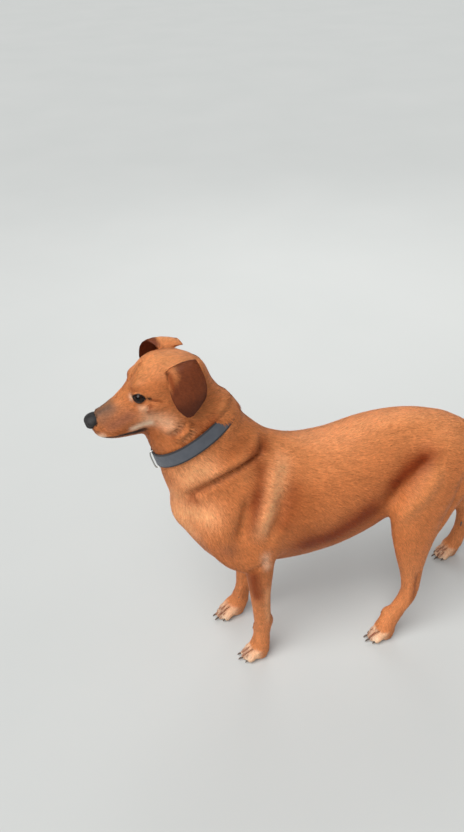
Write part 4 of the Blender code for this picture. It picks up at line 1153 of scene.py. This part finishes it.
sides = points[triangles]
areas = np.linalg.norm(np.cross(sides[:, 1] - sides[:, 0], sides[:, 2] - sides[:, 0]), axis=1) / 2
middles = sides.mean(axis=1)
grown = areas * 1e4 * figures[triangles, 3].mean(axis=1)
grown = grown * (1 - share(bareness[triangles].mean(axis=1), 0.25, 0.7))
for eye in eyes.values():
    grown[np.linalg.norm(middles - eye.seat, axis=1) < EYE_RADIUS + 0.0005] = 0  # inside the lids
ahead = round_strap(middles)[1]
above = middles[:, 2] - ahead * strap_axes[2][2]
grown *= 1 + (above > NAPE) * (ahead > 0.006) * (ahead < 0.026)  # twice as close behind the strap
roots_on = np.repeat(np.arange(len(grown)), (grown + RNG.random(len(grown))).astype(int))
one, two = RNG.random((2, len(roots_on)))
fold = one + two > 1
one[fold], two[fold] = 1 - one[fold], 1 - two[fold]
weights = np.stack([1 - one - two, one, two], axis=1)


def at_roots(values):
    return np.einsum("ij,ijk->ik", weights, values[triangles[roots_on]].reshape(len(roots_on), 3, -1))


root = at_roots(points)
strap_gap = np.full(len(root), 1.0)
near_strap = np.flatnonzero(np.abs(round_strap(root)[1]) < 0.035)
strap_skin = skin_of(strap)
strap_gap[near_strap] = [strap_skin.find_nearest(place)[3] for place in root[near_strap].tolist()]
keep = (np.abs(round_strap(root)[1]) >= STRAP_WIDTH / 2 - 0.001) | (strap_gap >= 0.012)  # not under the strap
roots_on, weights, root, strap_gap = roots_on[keep], weights[keep], root[keep], strap_gap[keep]
owner = parts[triangles[roots_on, 0]]
up_from = flattened(at_roots(outward), np.zeros((1, 3)))
depth, length, width, _ = at_roots(figures).T
paint_at = markings_and_painted_light(root, at_roots(upward)[:, 0], owner)[0]
seam_place = np.einsum("ij,ijk->ik", weights, unwrap[loops[roots_on]])


def waves(places, sizes, seed):
    """Smooth unevenness over the body, between about -1 and 1."""
    turn = np.random.default_rng(seed)
    total = np.zeros(len(places))
    for size in sizes:
        for _ in range(5):
            way = turn.normal(size=3)
            way *= 2 * math.pi / size / np.linalg.norm(way)
            total += np.sin(places @ way + turn.uniform(0, 2 * math.pi)) / 5
    return total / len(sizes)


heading = flattened(at_roots(lie), up_from)
aside = np.cross(up_from, heading)
sway = 0.22 * waves(root, (0.016, 0.034), 5) + 0.16 * RNG.normal(size=len(root))
small = np.isin(owner, ("head", "ear", "paw"))
sway *= np.where(small, 0.7, 1.0)
heading = heading * np.cos(sway)[:, None] + aside * np.sin(sway)[:, None]
aside = np.cross(up_from, heading)
length = length * RNG.uniform(0.75, 1.2, len(root))
crowd = np.clip(strap_gap / 0.014, 0.3, 1)
ahead = round_strap(root)[1]
over_strap = share(root[:, 2] - ahead * strap_axes[2][2], NAPE + 0.003, NAPE + 0.010)
over_strap *= (ahead > 0.009) & (ahead < 0.024)
crowd += (1 - crowd) * over_strap
length, depth = length * crowd, depth * crowd
length += (ahead + RNG.uniform(0.013, 0.024, len(root)) - length) * over_strap
for eye in eyes.values():
    _, ahead, above = eye.over_ball(root)
    close = 1 - share(np.linalg.norm(root - eye.seat, axis=1), 0.014, 0.024)
    length, depth = length * (1 - 0.5 * close), depth * (1 - 0.5 * close)
muzzle = share(in_head(root)[:, 0], 0.105, 0.150) * (owner == "head")
length, depth = length * (1 - 0.35 * muzzle), depth * (1 - 0.3 * muzzle)

final_skin = skin_of(hide)


def laid(places, lift):
    """Bring places onto the skin, or at the nape onto the strap, then up from it."""
    on_skin, away = np.empty_like(places), np.empty_like(places)
    for index, (place, outside, over) in enumerate(zip(places, up_from, over_strap)):
        spot, up, _, _ = final_skin.find_nearest(place)
        if over:
            start = Vector(place + outside * 0.02)
            strap_spot, strap_up, _, _ = strap_skin.ray_cast(start, Vector(-outside), 0.03)
            if strap_spot and (strap_spot - start).length < (spot - start).length:
                spot, up = strap_spot, strap_up
        on_skin[index], away[index] = spot, up
    return on_skin + away * lift[:, None], away


middle, middle_up = laid(root + heading * (length * 0.5)[:, None], depth * 0.55 + 0.0015 * over_strap)
tip, tip_up = laid(root + heading * length[:, None], depth * RNG.uniform(0.55, 1.0, len(root)))
half = aside * (width * RNG.uniform(0.8, 1.2, len(root)) / 2)[:, None]
sunk = root - up_from * 0.0003
blade = np.stack([sunk - half, sunk + half, middle - half * 0.85, middle + half * 0.85, tip], axis=1)
tilt = aside * 0.30
wobble = RNG.normal(scale=0.10, size=root.shape)
facing = [up_from - tilt, up_from + tilt, middle_up - tilt, middle_up + tilt, tip_up - heading * 0.1]
facing = np.stack(facing, axis=1) + wobble[:, None]
facing /= np.linalg.norm(facing, axis=2)[:, :, None]
lock = 1 + 0.15 * waves(root, (0.007, 0.012), 7) + 0.13 * RNG.normal(size=len(root))
# Each lock is painted darker at its root, a painted shade, and lighter at its tip.
shades = np.array((0.88, 0.88, 0.99, 0.99, 1.09)) * np.clip(lock, 0.6, 1.4)[:, None]
painted = np.ones((len(root), 5, 4))
painted[:, :, :3] = np.clip(paint_at[:, None] * shades[:, :, None], 0, 1)
PATCH = 0.003  # how wide a tuft lies on the hide's unwrap
patch = np.array(((-0.5, -0.5), (0.5, -0.5), (-0.4, 0.1), (0.4, 0.1), (0, 0.5))) * PATCH
patches = np.clip(seam_place[:, None] + patch, 0, 1)
BLADE = np.array(((0, 3, 1), (0, 2, 3), (2, 4, 3)))

# Hair: keratin, softly shiny, with a painted shade at the root and lighter at the tip.
coat_finish, shader = surface_of("dog hair")
colour, _ = mottled(coat_finish, 0.10)
give(coat_finish, shader, Base_Color=colour, Roughness=0.52, IOR=1.45, Specular_IOR_Level=0.25,
     Sheen_Weight=0.05, Sheen_Roughness=0.5, Sheen_Tint=(*light_of("#f2c79a"), 1))

COAT_LIMIT = 64000  # tufts in one piece
COAT_GROUPS = {"head": "head", "ears": "ear", "neck": "neck", "trunk": "trunk", "tail": "tail",
               "forelegs": "foreleg", "hindlegs": "hindleg", "paws": "paw"}
for group, part in COAT_GROUPS.items():
    members = np.flatnonzero(owner == part)
    members = members[np.argsort(root[members, 1], kind="stable")]
    lots = np.array_split(members, -(-len(members) // COAT_LIMIT))
    for number, lot in enumerate(lots, 1):
        name = f"coat_{group}" + (f"_{number}" if len(lots) > 1 else "")
        mesh = bpy.data.meshes.new(name)
        mesh.vertices.add(len(lot) * 5)
        mesh.vertices.foreach_set("co", blade[lot].astype(np.float32).ravel())
        faces = (np.arange(len(lot))[:, None, None] * 5 + BLADE).reshape(-1, 3)
        mesh.loops.add(faces.size)
        mesh.loops.foreach_set("vertex_index", faces.astype(np.int32).ravel())
        mesh.polygons.add(len(faces))
        mesh.polygons.foreach_set("loop_start", np.arange(0, faces.size, 3, dtype=np.int32))
        mesh.update(calc_edges=True)
        mesh.shade_smooth()
        place_map = mesh.uv_layers.new(name="OFBake")
        spread = patches[lot].reshape(-1, 2)[faces.ravel()]
        place_map.data.foreach_set("uv", spread.astype(np.float32).ravel())
        mesh.normals_split_custom_set_from_vertices(facing[lot].reshape(-1, 3))
        piece = bpy.data.objects.new(name, mesh)
        bpy.context.scene.collection.objects.link(piece)
        store(piece, "coat_colour_and_painted_light", "FLOAT_COLOR", painted[lot].reshape(-1, 4))
        cover(piece, coat_finish)
        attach(piece, "root")

# The camera, floor and lights ----------------------------------------------------------------------
# It is seen from its left, above its head, and a pale floor and broad soft lamps stand round it.

YAW, PITCH = math.radians(14.4), math.radians(33)
ROLL = math.radians(2.41)
CAMERA_PLACE = (1.0275, -0.4408, 1.19)
LENS = 34.6

view = Vector((-math.cos(YAW) * math.cos(PITCH), math.sin(YAW) * math.cos(PITCH), -math.sin(PITCH)))
level = Vector((math.sin(YAW), math.cos(YAW), 0))
above = level.cross(view)
camera = bpy.data.objects.new("camera", bpy.data.cameras.new("camera"))
bpy.context.scene.collection.objects.link(camera)
camera.matrix_world = Matrix(
    (level * math.cos(ROLL) - above * math.sin(ROLL), level * math.sin(ROLL) + above * math.cos(ROLL), -view)
).transposed().to_4x4()
camera.matrix_world.translation = Vector(CAMERA_PLACE)
camera.data.lens = LENS
camera.data.sensor_width = 36
camera.data.clip_start = 0.01
bpy.context.scene.camera = camera
bpy.context.scene.view_settings.view_transform = "Standard"

bpy.ops.object.select_all(action="DESELECT")
bpy.ops.mesh.primitive_plane_add(size=80, location=(0, 0, 0))
floor = bpy.context.object
floor.name = "studio_floor"
floor_finish, shader = surface_of("matt floor paint")
place = add(floor_finish, "ShaderNodeTexCoord", {}, {}).outputs["Object"]
patchy = add(floor_finish, "ShaderNodeTexNoise", {}, {"Vector": place, "Scale": 2.0, "Detail": 4.0})
patchy = patchy.outputs["Fac"]
tone = add(floor_finish, "ShaderNodeMix", {"data_type": "RGBA"}, {
    0: patchy, MIX_A: (*light_of("#c9cbc8"), 1), MIX_B: (*light_of("#d0d1ce"), 1)}).outputs[MIX_OUT]
give(floor_finish, shader, Base_Color=tone, Roughness=0.9)
cover(floor, floor_finish)

world = bpy.data.worlds.new("studio")
world.use_nodes = True
world.node_tree.nodes["Background"].inputs["Color"].default_value = (*light_of("#e9edf2"), 1)
world.node_tree.nodes["Background"].inputs["Strength"].default_value = 0.34
bpy.context.scene.world = world
sky = bpy.data.lights.new("large_soft_lamp", "SUN")
sky.energy, sky.angle = 2.95, math.radians(50)
stand = bpy.data.objects.new(sky.name, sky)
stand.rotation_euler = Vector((-0.50, 0.62, -1.10)).to_track_quat("-Z", "Y").to_euler()
bpy.context.scene.collection.objects.link(stand)
lamp = bpy.data.lights.new("soft_lamp", "AREA")
lamp.size, lamp.energy = 1.2, 10
stand = bpy.data.objects.new(lamp.name, lamp)
stand.location = (-1.8, 0.6, 1.8)
stand.rotation_euler = (Vector((0, 0, 0.4)) - stand.location).to_track_quat("-Z", "Y").to_euler()
bpy.context.scene.collection.objects.link(stand)
